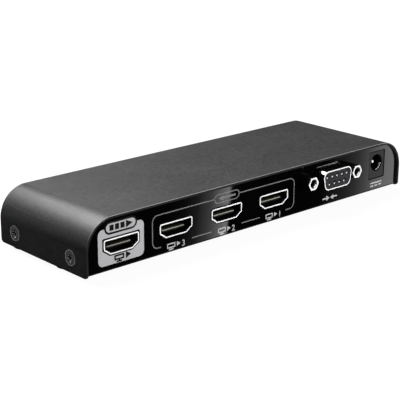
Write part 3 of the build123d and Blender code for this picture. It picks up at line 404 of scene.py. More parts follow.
smudge_group, group_in, group_out = new_group("hand_smudges", (("Scale", 60.0), ("Amount", 0.1)), ("Mask",))
marks = object_noise(smudge_group, group_in.outputs["Scale"], 4.0, 0.6)
marks = map_value(smudge_group, marks, 0.0, 1.0, 0.45, 0.62)
marks = add_values(smudge_group, marks, group_in.outputs["Amount"], "MULTIPLY")
smudge_group.links.new(marks, group_out.inputs["Mask"])
print("groups:", [group.name for group in (grain_group, edge_group, dust_group, smudge_group)])

# %% [markdown]
# Every finish is the same chain with its own numbers: a base colour that shifts a little with the grain,
# lighter metal or plastic along worn edges, a veil of dust, a roughness that the grain and smudges
# change, and a fine bump. Two masks paint light and shade into the colour where parts need them. One
# colours what faces along Y: a painted highlight on a socket's rim, near black on the cover's cut edge,
# and a painted highlight on the rounding just before that edge. The other paints shade where a surface
# turns away from the eye. Keeping it all in one function makes the finishes easy to compare, and each
# call below reads like a paint label.

# %% The finish function
dust_color = (0.42, 0.41, 0.39)
# Painted shade where a surface turns away from the eye.
painted_silhouette_shade = (0.003, 0.003, 0.003)


def place_group(tree, group, values):
    """A node that uses a group, with its inputs set."""
    node = add_node(tree, "ShaderNodeGroup", node_tree=group)
    for key, value in values.items():
        node.inputs[key].default_value = value
    return node


def facing_levels(tree):
    """How much a surface faces along Y, from zero to one, and how much it faces up."""
    surface = tree.nodes.new("ShaderNodeNewGeometry")
    axes = tree.nodes.new("ShaderNodeSeparateXYZ")
    tree.links.new(surface.outputs["True Normal"], axes.inputs[0])
    along = add_node(tree, "ShaderNodeMath", operation="ABSOLUTE")
    tree.links.new(axes.outputs["Y"], along.inputs[0])
    return along.outputs[0], axes.outputs["Z"]


def make_finish(name, color, shade=0.12, rough=0.5, rough_shift=0.06, metal=0.0, grain=0.5, lift=0.004,
                wear=0.0, wear_width=0.25, worn=(0.4, 0.4, 0.4), dust=0.0, smudge=0.0, specular=0.5,
                facing=None, facing_range=(0.85, 0.93), rim=None, outline=False, contrast=1.0):
    """A material from a colour, its spread, roughness, metallic, grain, worn edges, dust and smudges.

    The sizes grain, lift and wear_width are in mm. The colour facing, if given, is painted on what faces
    along Y: a painted highlight on socket rims, near black on the cover's cut edge. Rim is a painted
    highlight on the rounding just before it, where it also faces up. With outline the paint darkens where
    it turns away from the eye, a painted shade at the silhouette.
    """
    material = bpy.data.materials.new(name)
    material.use_nodes = True
    tree = material.node_tree
    shader = tree.nodes["Principled BSDF"]
    shader.inputs["Metallic"].default_value = metal
    shader.inputs["Specular IOR Level"].default_value = specular
    grains = place_group(tree, grain_group, {"Scale": 1.0 / (grain * MM), "Contrast": contrast})
    dark_tone = [max(c * (1 - shade), 0.0) for c in color]
    light_tone = [min(c * (1 + shade), 1.0) for c in color]
    paint = mix_colors(tree, grains.outputs["Tone"], dark_tone, light_tone)
    roughness = map_value(tree, grains.outputs["Tone"], rough - rough_shift, rough + rough_shift)
    if wear:
        edges = place_group(tree, edge_group, {"Width": wear_width * MM, "Amount": wear})
        paint = mix_colors(tree, edges.outputs["Mask"], paint, worn)
    if dust:
        settled = place_group(tree, dust_group, {"Amount": dust})
        paint = mix_colors(tree, settled.outputs["Mask"], paint, dust_color)
        roughness = add_values(tree, roughness, settled.outputs["Mask"])
    if smudge:
        hands = place_group(tree, smudge_group, {"Amount": smudge})
        roughness = add_values(tree, roughness, hands.outputs["Mask"])
    # Painted light on what faces along Y and on the rounding just before it.
    if facing:
        level, upward = facing_levels(tree)
        if rim:
            edge = map_value(tree, level, 0.0, 1.0, 0.05, 0.15)
            edge = add_values(tree, edge, map_value(tree, upward, 0.0, 1.0, 0.1, 0.7), "MULTIPLY")
            paint = mix_colors(tree, edge, paint, rim)
        along = map_value(tree, level, 0.0, 1.0, *facing_range)
        paint = mix_colors(tree, along, paint, facing)
        roughness = add_values(tree, roughness, along, "MAXIMUM")
        tree.links.new(map_value(tree, along, metal, 0.0), shader.inputs["Metallic"])
    # Painted shade at the silhouette.
    if outline:
        layer = add_node(tree, "ShaderNodeLayerWeight", {"Blend": 0.5})
        turned = map_value(tree, layer.outputs["Facing"], 0.0, 1.0, 0.79, 0.87)
        paint = mix_colors(tree, turned, paint, painted_silhouette_shade)
        roughness = add_values(tree, roughness, turned, "MAXIMUM")
    tree.links.new(paint, shader.inputs["Base Color"])
    tree.links.new(roughness, shader.inputs["Roughness"])
    bump = add_node(tree, "ShaderNodeBump", {"Strength": 1.0, "Distance": lift * MM})
    tree.links.new(grains.outputs["Height"], bump.inputs["Height"])
    tree.links.new(bump.outputs["Normal"], shader.inputs["Normal"])
    return material


print("finish function ready")

# %% [markdown]
# The finishes of the box, one for each slot of the CAD record. The cover is a fine powder coat in dark
# grey, the panel a glossy black film, the sockets bright nickel over stamped steel, and the plastics have
# the dull sheen of a moulded part. What sits inside the case gets its own finish too, because the gaps
# and openings show it.

# %% Finishes by slot
finishes = {}


def add_finish(name, color, *levels, **settings):
    """Makes a finish and keeps it under its name."""
    finishes[name] = make_finish(name, color, *levels, **settings)


# The cut edge is near black, the rounding before it takes a painted highlight and the silhouette a painted
# shade.
add_finish("cover_paint", (0.034, 0.0345, 0.0355), 0.4, 0.47, 0.04, grain=0.7, contrast=2.0, lift=0.005,
           wear=1.0, wear_width=0.3, worn=(0.12, 0.12, 0.12), dust=0.02, smudge=0.03, specular=0.6,
           facing=(0.004, 0.004, 0.004), facing_range=(0.6, 0.8), rim=(0.3, 0.3, 0.3), outline=True)
add_finish("tray_paint", (0.03, 0.03, 0.032), 0.2, 0.55, 0.06, grain=0.3, lift=0.006, wear=0.4,
           worn=(0.12, 0.12, 0.12), dust=0.04)
add_finish("panel_film", (0.001, 0.001, 0.0011), 0.2, 0.03, 0.01, grain=0.8, lift=0.0001, smudge=0.02)
# The bright worn edge of the screw heads is partly wear and partly a painted highlight on their rim.
add_finish("black_screw", (0.11, 0.11, 0.113), 0.2, 0.3, 0.08, grain=0.2, lift=0.004, wear=1.0,
           wear_width=0.35, worn=(0.8, 0.8, 0.8))
add_finish("zinc_steel", (0.55, 0.55, 0.56), 0.1, 0.32, 0.08, metal=1.0, grain=0.4, lift=0.003)
add_finish("foot_rubber", (0.018, 0.018, 0.018), 0.25, 0.75, 0.1, grain=0.25, lift=0.01, dust=0.08)
add_finish("board_laminate", (0.02, 0.14, 0.06), 0.3, 0.35, 0.08, grain=0.9, lift=0.006)
add_finish("standoff_brass", (0.7, 0.5, 0.2), 0.1, 0.28, 0.06, metal=1.0, grain=0.3, lift=0.003)
# Faces along Y are painted near white, a painted highlight on the rims.
add_finish("socket_nickel", (0.72, 0.72, 0.73), 0.06, 0.2, 0.04, metal=1.0, grain=0.35, lift=0.001,
           smudge=0.04, facing=(0.95, 0.95, 0.96))
add_finish("contact_gold", (0.85, 0.62, 0.25), 0.06, 0.22, 0.05, metal=1.0, grain=0.2, lift=0.001)
add_finish("socket_plastic", (0.03, 0.03, 0.032), 0.2, 0.42, 0.08, grain=0.22, lift=0.005, wear=0.3,
           worn=(0.1, 0.1, 0.1))
add_finish("jack_plastic", (0.027, 0.027, 0.03), 0.2, 0.5, 0.06, grain=0.25, lift=0.003, specular=0.12)
add_finish("tinned_metal", (0.62, 0.62, 0.62), 0.12, 0.42, 0.1, metal=1.0, grain=0.3, lift=0.004)
add_finish("window_plastic", (0.045, 0.006, 0.01), 0.15, 0.06, 0.02, grain=0.8, lift=0.0003, smudge=0.05)
add_finish("light_lens", (0.55, 0.6, 0.66), 0.08, 0.12, 0.04, grain=0.5, lift=0.001)
add_finish("button_plastic", (0.05, 0.05, 0.055), 0.15, 0.45, 0.06, grain=0.25, lift=0.005, wear=0.4,
           worn=(0.16, 0.16, 0.17), smudge=0.1)
add_finish("chip_resin", (0.02, 0.02, 0.021), 0.25, 0.55, 0.08, grain=0.2, lift=0.006)
add_finish("receiver_resin", (0.015, 0.012, 0.012), 0.2, 0.15, 0.04, grain=0.4, lift=0.001)
add_finish("crystal_can", (0.7, 0.7, 0.7), 0.08, 0.25, 0.06, metal=1.0, grain=0.3, lift=0.002)
add_finish("ferrite", (0.06, 0.06, 0.065), 0.25, 0.6, 0.08, grain=0.3, lift=0.01)
add_finish("capacitor_aluminium", (0.75, 0.75, 0.76), 0.08, 0.3, 0.06, metal=1.0, grain=0.3, lift=0.002)
add_finish("ceramic_tan", (0.45, 0.33, 0.22), 0.2, 0.4, 0.08, grain=0.3, lift=0.003)
print(len(finishes), "finishes")

# %% [markdown]
# CAD meshes arrive as loose triangles with a flat look. Flat-faced nodes can stay as they are and only
# take a new finish. A curved node is copied, its doubled corners are merged, and it is shaded smooth
# except across its sharp edges, so that the rounded edge of the cover shows one clean highlight. The copy
# stands for the CAD node.

# %% Smooth copies of the curved nodes


def smooth_copy(node, crease=28.0):
    """A merged copy of a CAD node with smooth shading and sharp edges, which stands for the node."""
    bm = bmesh.new()
    bm.from_mesh(frame["nodes"][node].data)
    bmesh.ops.remove_doubles(bm, verts=bm.verts, dist=0.002 * MM)
    for face in bm.faces:
        face.smooth = True
    for edge in bm.edges:
        edge.smooth = len(edge.link_faces) == 2 and edge.calc_face_angle(0.0) < math.radians(crease)
    piece = make_object(f"{node}_skin", bm)
    attributes = piece.data.attributes
    if "custom_normal" in attributes:
        attributes.remove(attributes["custom_normal"])
    dress_piece(piece, finishes[slot_of[node]], body_of[node])
    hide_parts(node)
    return piece


curved = [
    "top_cover", "bottom_tray", "side_screws", "side_nuts", "board_standoffs", "board_screws",
    "foot_front_left", "foot_front_right", "foot_rear_left", "foot_rear_right", "serial_shell",
    "serial_insulator", "serial_contacts", "serial_brackets", "serial_jack_screws", "power_jack_body",
    "power_jack_pin", "remote_receiver", "front_window", "select_button", "switch_plunger", "switch_body",
    "status_light_power", "status_light_1", "status_light_2", "status_light_3", "status_light_holders",
    "crystal", "capacitor_cans", "power_inductor", "rear_panel", "front_panel",
]
sockets = ("video_out", "video_in_1", "video_in_2", "video_in_3")
curved += [f"{socket}_shell" for socket in sockets]
skins = {node: smooth_copy(node) for node in curved}
for node, thing in frame["nodes"].items():
    if node not in skins:
        for place in thing.material_slots:
            place.material = finishes[slot_of[node]]
print(len(skins), "smooth copies,", len(frame["nodes"]) - len(skins), "CAD nodes with a new finish")

# %% [markdown]
# A few parts change their colour over their own length in the photograph. The tips of the video sockets'
# tongues show as one thin olive line, a painted highlight, and the serial contacts get a band of painted
# highlight. The inside of a socket or of a screw's recess sees no light and is painted black, a painted
# shade, and the glossy panel ends in a dull dark line at its lower hem. Each of these is a known finish
# with a mask on Object coordinates: between two heights, behind a place along one axis, or below a
# height. The last helper gives one node a finish other than its slot's.

# %% Masks on a finish


def add_bands(name, base, bands, front, color, metal=0.0):
    """A copy of a finish with a colour in front of a Y place and between each two heights, in mm."""
    material = finishes[base].copy()
    material.name = name
    tree = material.node_tree
    shader = tree.nodes["Principled BSDF"]
    axes = object_axes(tree)
    before = add_values(tree, axes.outputs["Y"], front * MM, "GREATER_THAN")
    mask = None
    for low, high in bands:
        above = add_values(tree, axes.outputs["Z"], low * MM, "GREATER_THAN")
        below = add_values(tree, axes.outputs["Z"], high * MM, "LESS_THAN")
        band = add_values(tree, above, below, "MULTIPLY")
        mask = band if mask is None else add_values(tree, mask, band, "MAXIMUM")
    mask = add_values(tree, mask, before, "MULTIPLY")
    paint = mix_colors(tree, mask, shader.inputs["Base Color"].links[0].from_socket, color)
    tree.links.new(paint, shader.inputs["Base Color"])
    tree.links.new(map_value(tree, mask, metal, 0.0), shader.inputs["Metallic"])
    return material


def shade_inside(name, base, limit, axis="Y", blur=0.15):
    """A copy of a finish that is painted black without metal, a painted shade, further in than a place on an
    axis, in mm.
    """
    material = finishes[base].copy()
    material.name = name
    tree = material.node_tree
    shader = tree.nodes["Principled BSDF"]
    axes = object_axes(tree)
    outward = add_node(tree, "ShaderNodeMath", operation="ABSOLUTE")
    tree.links.new(axes.outputs[axis], outward.inputs[0])
    inside = map_value(tree, outward.outputs[0], 1.0, 0.0, (limit - blur) * MM, limit * MM)
    paint = shader.inputs["Base Color"].links[0].from_socket
    paint = mix_colors(tree, inside, paint, (0.006, 0.006, 0.006))
    tree.links.new(paint, shader.inputs["Base Color"])
    outside = add_values(tree, add_values(tree, inside, -1.0, "MULTIPLY"), 1.0)
    if shader.inputs["Metallic"].links:
        metal = shader.inputs["Metallic"].links[0].from_socket
        tree.links.new(add_values(tree, metal, outside, "MULTIPLY"), shader.inputs["Metallic"])
    return material


def dull_hem(material, height):
    """Makes a finish dull below a height in mm, so that a glossy panel ends in a dark line."""
    tree = material.node_tree
    shader = tree.nodes["Principled BSDF"]
    axes = object_axes(tree)
    below = add_values(tree, axes.outputs["Z"], height * MM, "LESS_THAN")
    roughness = shader.inputs["Roughness"].links[0].from_socket
    tree.links.new(add_values(tree, roughness, below, "MAXIMUM"), shader.inputs["Roughness"])


def use_finish(node, material):
    """Gives one node, or the copy that stands for it, a finish of its own."""
    thing = skins.get(node, frame["nodes"][node])
    for place in thing.material_slots:
        place.material = material


print("masks for finishes ready")

# %% [markdown]
# The masks get their places from the boxes of the nodes. The four video sockets are alike, so one shell,
# one tongue and one shaded gold serve them all. Contacts deep in a socket get little light in the
# photograph, which a darker gold shows best. The serial socket's block is a blue-grey plastic and its
# shell a smoother nickel than the others.

# %% Finishes of the sockets and screws
shell_wall, mouth_rise = 0.5, 2.275
shell_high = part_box("video_out_shell")[1]
socket_z = (shell_high.z / MM - shell_wall) - mouth_rise
mouth_y = shell_high.y / MM
# A painted highlight on the front of each tongue, a thin olive line on black plastic.
tip_highlight_band = (socket_z - 0.5, socket_z - 0.2)
tip_y = mouth_y - 1.95
add_finish("tongue_plastic", (0.006, 0.006, 0.006), 0.2, 0.5, 0.08, grain=0.22, lift=0.003, specular=0.2)
tongue_highlight_finish = add_bands("tongue_tip_highlight", "tongue_plastic", [tip_highlight_band], tip_y, (0.3, 0.3, 0.26))
add_finish("shaded_gold", (0.05, 0.042, 0.025), 0.1, 0.4, 0.05, grain=0.2, lift=0.001, specular=0.2)
hem_rise = 0.4
dull_hem(finishes["panel_film"], panel_low.z / MM + hem_rise)
# The side screws' recesses are painted black inside, a painted shade.
recess_x = 79.85
use_finish("side_screws", shade_inside("screw_recess", "black_screw", recess_x, "X"))
# Socket shells are painted black past their rims, a painted shade.
rim_depth = 0.45
shell_finish = shade_inside("shell_nickel", "socket_nickel", mouth_y - rim_depth)
for socket in sockets:
    use_finish(f"{socket}_shell", shell_finish)
    use_finish(f"{socket}_tongue", tongue_highlight_finish)
    use_finish(f"{socket}_contacts", finishes["shaded_gold"])

hex_width, contact_row = 4.75, 1.42
serial_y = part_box("serial_shell")[1].y / MM
serial_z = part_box("serial_jack_screws")[0].z / MM + hex_width / 2
add_finish("serial_plastic", (0.026, 0.026, 0.031), 0.2, 0.5, 0.08, grain=0.22, lift=0.003, specular=0.12)
use_finish("serial_insulator", finishes["serial_plastic"])
# Faces along Y are painted near white, a painted highlight on the rim.
add_finish("serial_nickel", (0.55, 0.55, 0.56), 0.06, 0.11, 0.03, metal=1.0, grain=0.35, lift=0.0005,
           facing=(0.95, 0.95, 0.96))
use_finish("serial_shell", finishes["serial_nickel"])
jack_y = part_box("power_jack_body")[1].y / MM
# The painted shade of the power jack reaches just past its face and darkens the face as well.
jack_shade_y = jack_y + 0.1
use_finish("power_jack_body", shade_inside("jack_body", "jack_plastic", jack_shade_y))
# A near white band of painted highlight on the lower half of each serial contact.
contact_glint_bands = [(serial_z - 2 * contact_row, serial_z - contact_row), (serial_z, serial_z + contact_row)]
contact_y = serial_y - 0.7
contact_glint_white = (0.9, 0.9, 0.88)
contact_glint_finish = add_bands("contact_glints", "shaded_gold", contact_glint_bands, contact_y, contact_glint_white, metal=1.0)
use_finish("serial_contacts", contact_glint_finish)
screw_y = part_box("serial_jack_screws")[1].y / MM
# The jack screws' bores and threads are painted black, a painted shade.
bore_y = screw_y - 0.12
finishes["jack_screw_nickel"] = shade_inside("jack_screw_nickel", "socket_nickel", bore_y)
use_finish("serial_jack_screws", finishes["jack_screw_nickel"])
# The pin gets the darker gold too, a painted shade.
use_finish("power_jack_pin", finishes["shaded_gold"])
print("serial socket's middle at Z", round(serial_z, 2), "video sockets' at Z", round(socket_z, 2))

# %% [markdown]
# The panel's marks are ink, a few hundredths of a millimetre thick. Each is drawn flat, as a reader sees
# it, from rounded rectangles, straight bars and numerals, then raised to the ink's thickness and turned
# onto the panel. A vertex bevel rounds the corners, and a fill between an outer and an inner outline
# leaves the middle open.

# %% Helpers for printed marks
ink_thickness = 0.02
# Each turn stands a drawing upright, with its X as a reader sees it and its Z pointing outwards.
REAR = Matrix(((-1, 0, 0, 0), (0, 0, 1, 0), (0, 1, 0, 0), (0, 0, 0, 1)))
FRONT = Matrix(((1, 0, 0, 0), (0, 0, -1, 0), (0, 1, 0, 0), (0, 0, 0, 1)))


def draw_shape(bm, corners, radius=0.0, segments=8):
    """A flat face through corners given in mm, with every corner rounded by a vertex bevel."""
    verts = [bm.verts.new((x * MM, y * MM, 0.0)) for x, y in corners]
    bm.faces.new(verts)
    if radius:
        bmesh.ops.bevel(bm, geom=verts, offset=radius * MM, segments=segments, profile=0.5,
                        affect="VERTICES", material=-1)


def box_corners(width, height, x=0.0, y=0.0):
    """The four corners of a rectangle about a middle."""
    left, right = x - width / 2, x + width / 2
    bottom, top = y - height / 2, y + height / 2
    return [(left, bottom), (right, bottom), (right, top), (left, top)]


def grown(corners, distance):
    """The corners of an outline moved outwards by a distance, each along the middle of its two sides."""
    moved = []
    for i, here in enumerate(corners):
        before = (Vector(here) - Vector(corners[i - 1])).normalized()
        after = (Vector(corners[(i + 1) % len(corners)]) - Vector(here)).normalized()
        out = (Vector((before.y, -before.x)) + Vector((after.y, -after.x))).normalized()
        moved.append(Vector(here) + out * distance / out.dot(Vector((before.y, -before.x))))
    return [tuple(corner) for corner in moved]


def open_middle(bm):
    """Turns the drawn faces into one sheet that is open where an inner outline lies in an outer one."""
    bmesh.ops.delete(bm, geom=bm.faces[:], context="FACES_ONLY")
    bmesh.ops.triangle_fill(bm, use_beauty=True, use_dissolve=False, edges=bm.edges[:])


def lay_on(bm, name, turn, x, y, z, finish, thickness=ink_thickness):
    """Raises a flat drawing, turns it onto a panel and makes it a piece; all in mm, but y in metres."""
    for face in bm.faces:
        face.normal_update()
        if face.normal.z < 0:
            face.normal_flip()
    raised = bmesh.ops.extrude_face_region(bm, geom=bm.faces[:])
    verts = [item for item in raised["geom"] if isinstance(item, bmesh.types.BMVert)]
    bmesh.ops.translate(bm, verts=verts, vec=(0, 0, thickness * MM))
    bmesh.ops.transform(bm, matrix=Matrix.Translation((x * MM, y, z * MM)) @ turn, verts=bm.verts)
    bmesh.ops.recalc_face_normals(bm, faces=bm.faces)
    dress_piece(make_object(name, bm), finish)


print("helpers for printed marks ready, ink", ink_thickness, "mm thick")

# %% [markdown]
# Screen ink comes in three colours here: a silver ground under the output socket, the grey of the lines
# and signs, and black over the silver. Silver ink holds fine flakes, so it is partly metallic, while the
# grey and the black are plain and dull beside the gloss of the film. The frame lines look darker than the
# signs in the photograph, so they have a darker grey of their own.

# %% Inks
silver_ink = make_finish("silver_ink", (0.44, 0.44, 0.45), 0.1, 0.42, 0.06, metal=0.25, grain=0.3,
                         lift=0.003, smudge=0.05)
grey_ink = make_finish("grey_ink", (0.42, 0.42, 0.43), 0.1, 0.5, 0.05, grain=0.25, lift=0.002)
line_ink = make_finish("line_ink", (0.14, 0.14, 0.143), 0.1, 0.5, 0.05, grain=0.25, lift=0.002)
black_ink = make_finish("black_ink", (0.002, 0.002, 0.002), 0.2, 0.5, 0.05, grain=0.25, lift=0.002,
                        specular=0.1)
print("inks:", [ink.name for ink in (silver_ink, grey_ink, line_ink, black_ink)])

# %% [markdown]
# The output socket sits on a silver ground with round corners. The ground is filled between its own
# outline and the socket's outline, grown by about a millimetre, so a thin dark line of film is left round
# the metal rim. A pill on its upper edge is black below and silver above, which leaves a black line
# between the two, and carries an arrow.

# %% Silver ground and its pill


def middle_x(node):
    """The X of the middle of a node, in mm."""
    low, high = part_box(node)
    return (low.x + high.x) / 2 / MM


socket_mouth = [(-4.6, -mouth_rise), (4.6, -mouth_rise), (6.05, -1.15), (7.0, -0.65), (7.0, mouth_rise),
                (-7.0, mouth_rise), (-7.0, -0.65), (-6.05, -1.15)]
rim_gap = 0.95
output_x = middle_x("video_out_shell")
ground_x, ground_z = 64.64, 10.57
bm = bmesh.new()
draw_shape(bm, box_corners(19.4, 12.8), 1.9)
mouth = [(x + ground_x - output_x, y + socket_z - ground_z) for x, y in grown(socket_mouth, rim_gap)]
draw_shape(bm, mouth, 0.5, 4)
open_middle(bm)
lay_on(bm, "output_ground", REAR, ground_x, panel_y, ground_z, silver_ink)


def draw_pill(width, height):
    """A drawing of a pill, a rectangle whose ends are half round."""
    bm = bmesh.new()
    draw_shape(bm, box_corners(width, height), height * 0.497, 12)
    return bm


def draw_arrow(bm, length, shaft, head_length, head_height, x=0.0, side=1):
    """An arrow about a middle, pointing along X, or back where side is -1."""
    tip = length / 2
    neck = tip - head_length
    points = [(-tip, -shaft / 2), (neck, -shaft / 2), (neck, -head_height / 2), (tip, 0),
              (neck, head_height / 2), (neck, shaft / 2), (-tip, shaft / 2)]
    draw_shape(bm, [(x + side * along, up) for along, up in points])


def draw_dashed_arrow(height, dash, gap, dashes, head):
    """A drawing of an arrow along X whose shaft is cut into dashes."""
    bm = bmesh.new()
    length = dashes * (dash + gap) + head
    for i in range(dashes):
        middle = -length / 2 + dash / 2 + i * (dash + gap)
        draw_shape(bm, box_corners(dash, height * 0.75, middle))
    tip = length / 2
    draw_shape(bm, [(tip - head, -height / 2), (tip, 0), (tip - head, height / 2)])
    return bm


pill_x, pill_z = 64.72, 16.95
arrow_x = 64.6
lay_on(draw_pill(13.8, 4.45), "output_pill_edge", REAR, pill_x, panel_y, pill_z, black_ink, thickness=0.03)
lay_on(draw_pill(12.4, 3.1), "output_pill", REAR, pill_x, panel_y, pill_z, silver_ink, thickness=0.04)
arrow = draw_dashed_arrow(height=2.7, dash=1.75, gap=0.55, dashes=3, head=2.9)
lay_on(arrow, "output_arrow", REAR, arrow_x, panel_y, pill_z, black_ink, thickness=0.05)
print("output ground at X", round(output_x, 2), "socket middle at Z", round(socket_z, 2))

# %% [markdown]
# A thin grey frame gathers the three input sockets. Insetting a rounded face by the line's width gives a
# clean ring of quads in one step. Planes then cut the ring, and what lies between two cuts is deleted, so
# the line stops short of each number below the sockets and of the pill above them.

# %% Input frame and its pill


def draw_ring(width, height, radius, line):
    """A drawing of a rounded frame with lines of an even width."""
    bm = bmesh.new()
    draw_shape(bm, box_corners(width, height), radius)
    inset = bmesh.ops.inset_region(bm, faces=bm.faces[:], use_boundary=True, use_even_offset=True,
                                   thickness=line * MM)
    middle = [face for face in bm.faces if face not in inset["faces"]]
    bmesh.ops.delete(bm, geom=middle, context="FACES")
    return bm


def cut_gap(bm, low, high, upper):
    """Cuts a gap between two X places, in mm, in the upper or the lower line of a frame."""
    for x in (low, high):
        geom = bm.verts[:] + bm.edges[:] + bm.faces[:]
        bmesh.ops.bisect_plane(bm, geom=geom, dist=1e-7, plane_co=(x * MM, 0, 0), plane_no=(1, 0, 0))
    gone = []
    for face in bm.faces:
        middle = face.calc_center_median()
        if low * MM < middle.x < high * MM and (middle.y > 0) == upper:
            gone.append(face)
    bmesh.ops.delete(bm, geom=gone, context="FACES")


frame_x, frame_z = 16.4, 10.9
number_gaps = ((47.4, 33.2), (23.9, 9.0), (-0.2, -14.0))
pill_gap = (22.4, 10.5)
bm = draw_ring(width=69.9, height=12.15, radius=2.5, line=0.38)
for high_x, low_x in number_gaps:
    cut_gap(bm, frame_x - high_x, frame_x - low_x, upper=False)
cut_gap(bm, frame_x - pill_gap[0], frame_x - pill_gap[1], upper=True)
lay_on(bm, "input_frame", REAR, frame_x, panel_y, frame_z, line_ink)
input_pill_x, input_pill_z = 16.45, 16.65
bm = draw_ring(width=12.3, height=3.5, radius=1.74, line=0.36)
lay_on(bm, "input_pill", REAR, input_pill_x, panel_y, input_pill_z, line_ink)
bm = bmesh.new()
draw_arrow(bm, length=8.4, shaft=0.75, head_length=2.4, head_height=2.2, side=-1)
lay_on(bm, "input_arrow", REAR, input_pill_x, panel_y, input_pill_z, line_ink)
print("input frame about X", frame_x, "with", len(number_gaps) + 1, "gaps")

# %% [markdown]
# Each input has its number under the socket, beside a small drawing of a screen. The numerals are text
# objects turned into flat meshes before they are placed, then scaled to the height that the print has.
# The screen is a ring for its bezel and two bars for its stand, with a triangle beside it.

# %% Numbers and screens


def draw_numeral(text, height):
    """A drawing of a numeral with a given height in mm, about its middle."""
    curve = bpy.data.curves.new(f"numeral_{text}", "FONT")
    curve.body = text
    curve.offset = 0.02
    writer = bpy.data.objects.new(f"numeral_{text}", curve)
    bpy.context.scene.collection.objects.link(writer)
    bpy.context.view_layer.update()
    mesh = bpy.data.meshes.new_from_object(writer.evaluated_get(bpy.context.evaluated_depsgraph_get()))
    bm = bmesh.new()
    bm.from_mesh(mesh)
    bpy.data.objects.remove(writer)
    bmesh.ops.remove_doubles(bm, verts=bm.verts, dist=1e-5)
    low = Vector([min(v.co[i] for v in bm.verts) for i in range(3)])
    high = Vector([max(v.co[i] for v in bm.verts) for i in range(3)])
    size = height * MM / (high.y - low.y)
    centre = (low + high) / 2
    bmesh.ops.transform(bm, matrix=Matrix.Scale(size, 4) @ Matrix.Translation(-centre), verts=bm.verts)
    return bm


def draw_screen(width, height, line):
    """A drawing of a small screen: a frame, a neck and a foot."""
    bm = draw_ring(width, height, 0.25, line)
    draw_shape(bm, box_corners(line, 0.35, 0, -height / 2 - 0.17))
    draw_shape(bm, box_corners(width * 0.55, line, 0, -height / 2 - 0.5))
    return bm


number_height, number_shift = 2.3, 3.4
screen_shift, screen_rise = 2.2, 0.35
sign_z = 4.2
for number in (1, 2, 3):
    x = middle_x(f"video_in_{number}_shell")
    numeral = draw_numeral(str(number), number_height)
    lay_on(numeral, f"input_number_{number}", REAR, x - number_shift, panel_y, sign_z, grey_ink)
    bm = draw_screen(width=3.8, height=1.8, line=0.45)
    draw_shape(bm, [(2.6, -0.9), (4.2, 0.0), (2.6, 0.9)])
    lay_on(bm, f"input_screen_{number}", REAR, x + screen_shift, panel_y, sign_z + screen_rise, grey_ink)
output_screen_x, output_screen_z = 65.6, 6.1
bm = draw_screen(width=4.2, height=1.9, line=0.62)
draw_shape(bm, [(2.8, -1.3), (5.0, 0.0), (2.8, 1.3)])
lay_on(bm, "output_screen", REAR, output_screen_x, panel_y, output_screen_z, black_ink, thickness=0.03)
print("numbers at Z", sign_z, "and four screens placed")

# %% [markdown]
# The serial socket and the power jack get signs of the plainest kind: two arrows that point past each
# other for signals both ways, and a long bar over three short ones for direct current. Both are a few
# flat faces.

# %% Signs under the serial socket and the power jack
serial_sign_x, current_sign_x = -38.9, -66.7
low_sign_z = 4.65
arrow_half, bar_spacing = 2.25, 2.5
bm = bmesh.new()
for side in (1, -1):
    x = -side * arrow_half
    draw_arrow(bm, length=4.0, shaft=0.55, head_length=1.7, head_height=2.1, x=x, side=side)
lay_on(bm, "serial_arrows", REAR, serial_sign_x, panel_y, low_sign_z, grey_ink)
bm = bmesh.new()
draw_shape(bm, box_corners(6.8, 0.5, 0, 0.6))
for x in (-bar_spacing, 0.0, bar_spacing):
    draw_shape(bm, box_corners(1.8, 0.5, x, -0.6))
lay_on(bm, "direct_current_sign", REAR, current_sign_x, panel_y, low_sign_z, grey_ink)
print("signs at X", serial_sign_x, "and", current_sign_x)

# %% [markdown]
# The front carries the same kind of print: a number under each input's light, a ring with a bar for
# power, and a triangle below the button. The photograph doesn't show this side, so the marks are the
# usual ones and plain.

# %% Marks on the front
front_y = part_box("front_panel")[0].y
mark_height, mark_z = 1.9, 7.1
triangle_z = 6.7
for number in (1, 2, 3):
    numeral = draw_numeral(str(number), mark_height)
    x = middle_x(f"status_light_{number}")
    lay_on(numeral, f"light_number_{number}", FRONT, x, front_y, mark_z, grey_ink)
bm = draw_ring(width=2.0, height=2.0, radius=0.99, line=0.3)
cut_gap(bm, -0.45, 0.45, upper=True)
draw_shape(bm, box_corners(0.3, 1.1, 0, 0.75))
lay_on(bm, "power_sign", FRONT, middle_x("status_light_power"), front_y, mark_z, grey_ink)
bm = bmesh.new()
draw_shape(bm, [(-0.9, -1.0), (1.0, 0.0), (-0.9, 1.0)])
lay_on(bm, "button_triangle", FRONT, middle_x("select_button"), front_y, triangle_z, grey_ink)
print("front marks at Z", mark_z)

# %% [markdown]
# The jack screws beside the serial socket are threaded inside. The thread is a small triangle spun
# several times round the bore's axis while it moves inwards, which the spin operator does with its step
# along the axis.

# %% Threads in the jack screws


def make_thread(name, x, z, mouth, radius, pitch, turns, ridge_height=0.16, steps=28):
    """A helical ridge in a bore that opens towards +Y; the place is in metres and the sizes are in mm."""
    bm = bmesh.new()
    ridge = [(radius, 0.5), (radius - ridge_height, 0.25), (radius, 0.0)]
    verts = [bm.verts.new((out * MM, -along * pitch * MM, 0.0)) for out, along in ridge]
    edges = [bm.edges.new((verts[i], verts[i + 1])) for i in range(2)]
    bmesh.ops.spin(bm, geom=verts + edges, cent=(0, 0, 0), axis=(0, 1, 0), dvec=(0, -pitch * MM / steps, 0),
                   angle=math.tau * turns, steps=steps * turns, use_merge=False)
    bmesh.ops.recalc_face_normals(bm, faces=bm.faces)
    bmesh.ops.translate(bm, verts=bm.verts, vec=(x, mouth, z))
    for face in bm.faces:
        face.smooth = True
    dress_piece(make_object(name, bm), finishes["jack_screw_nickel"])


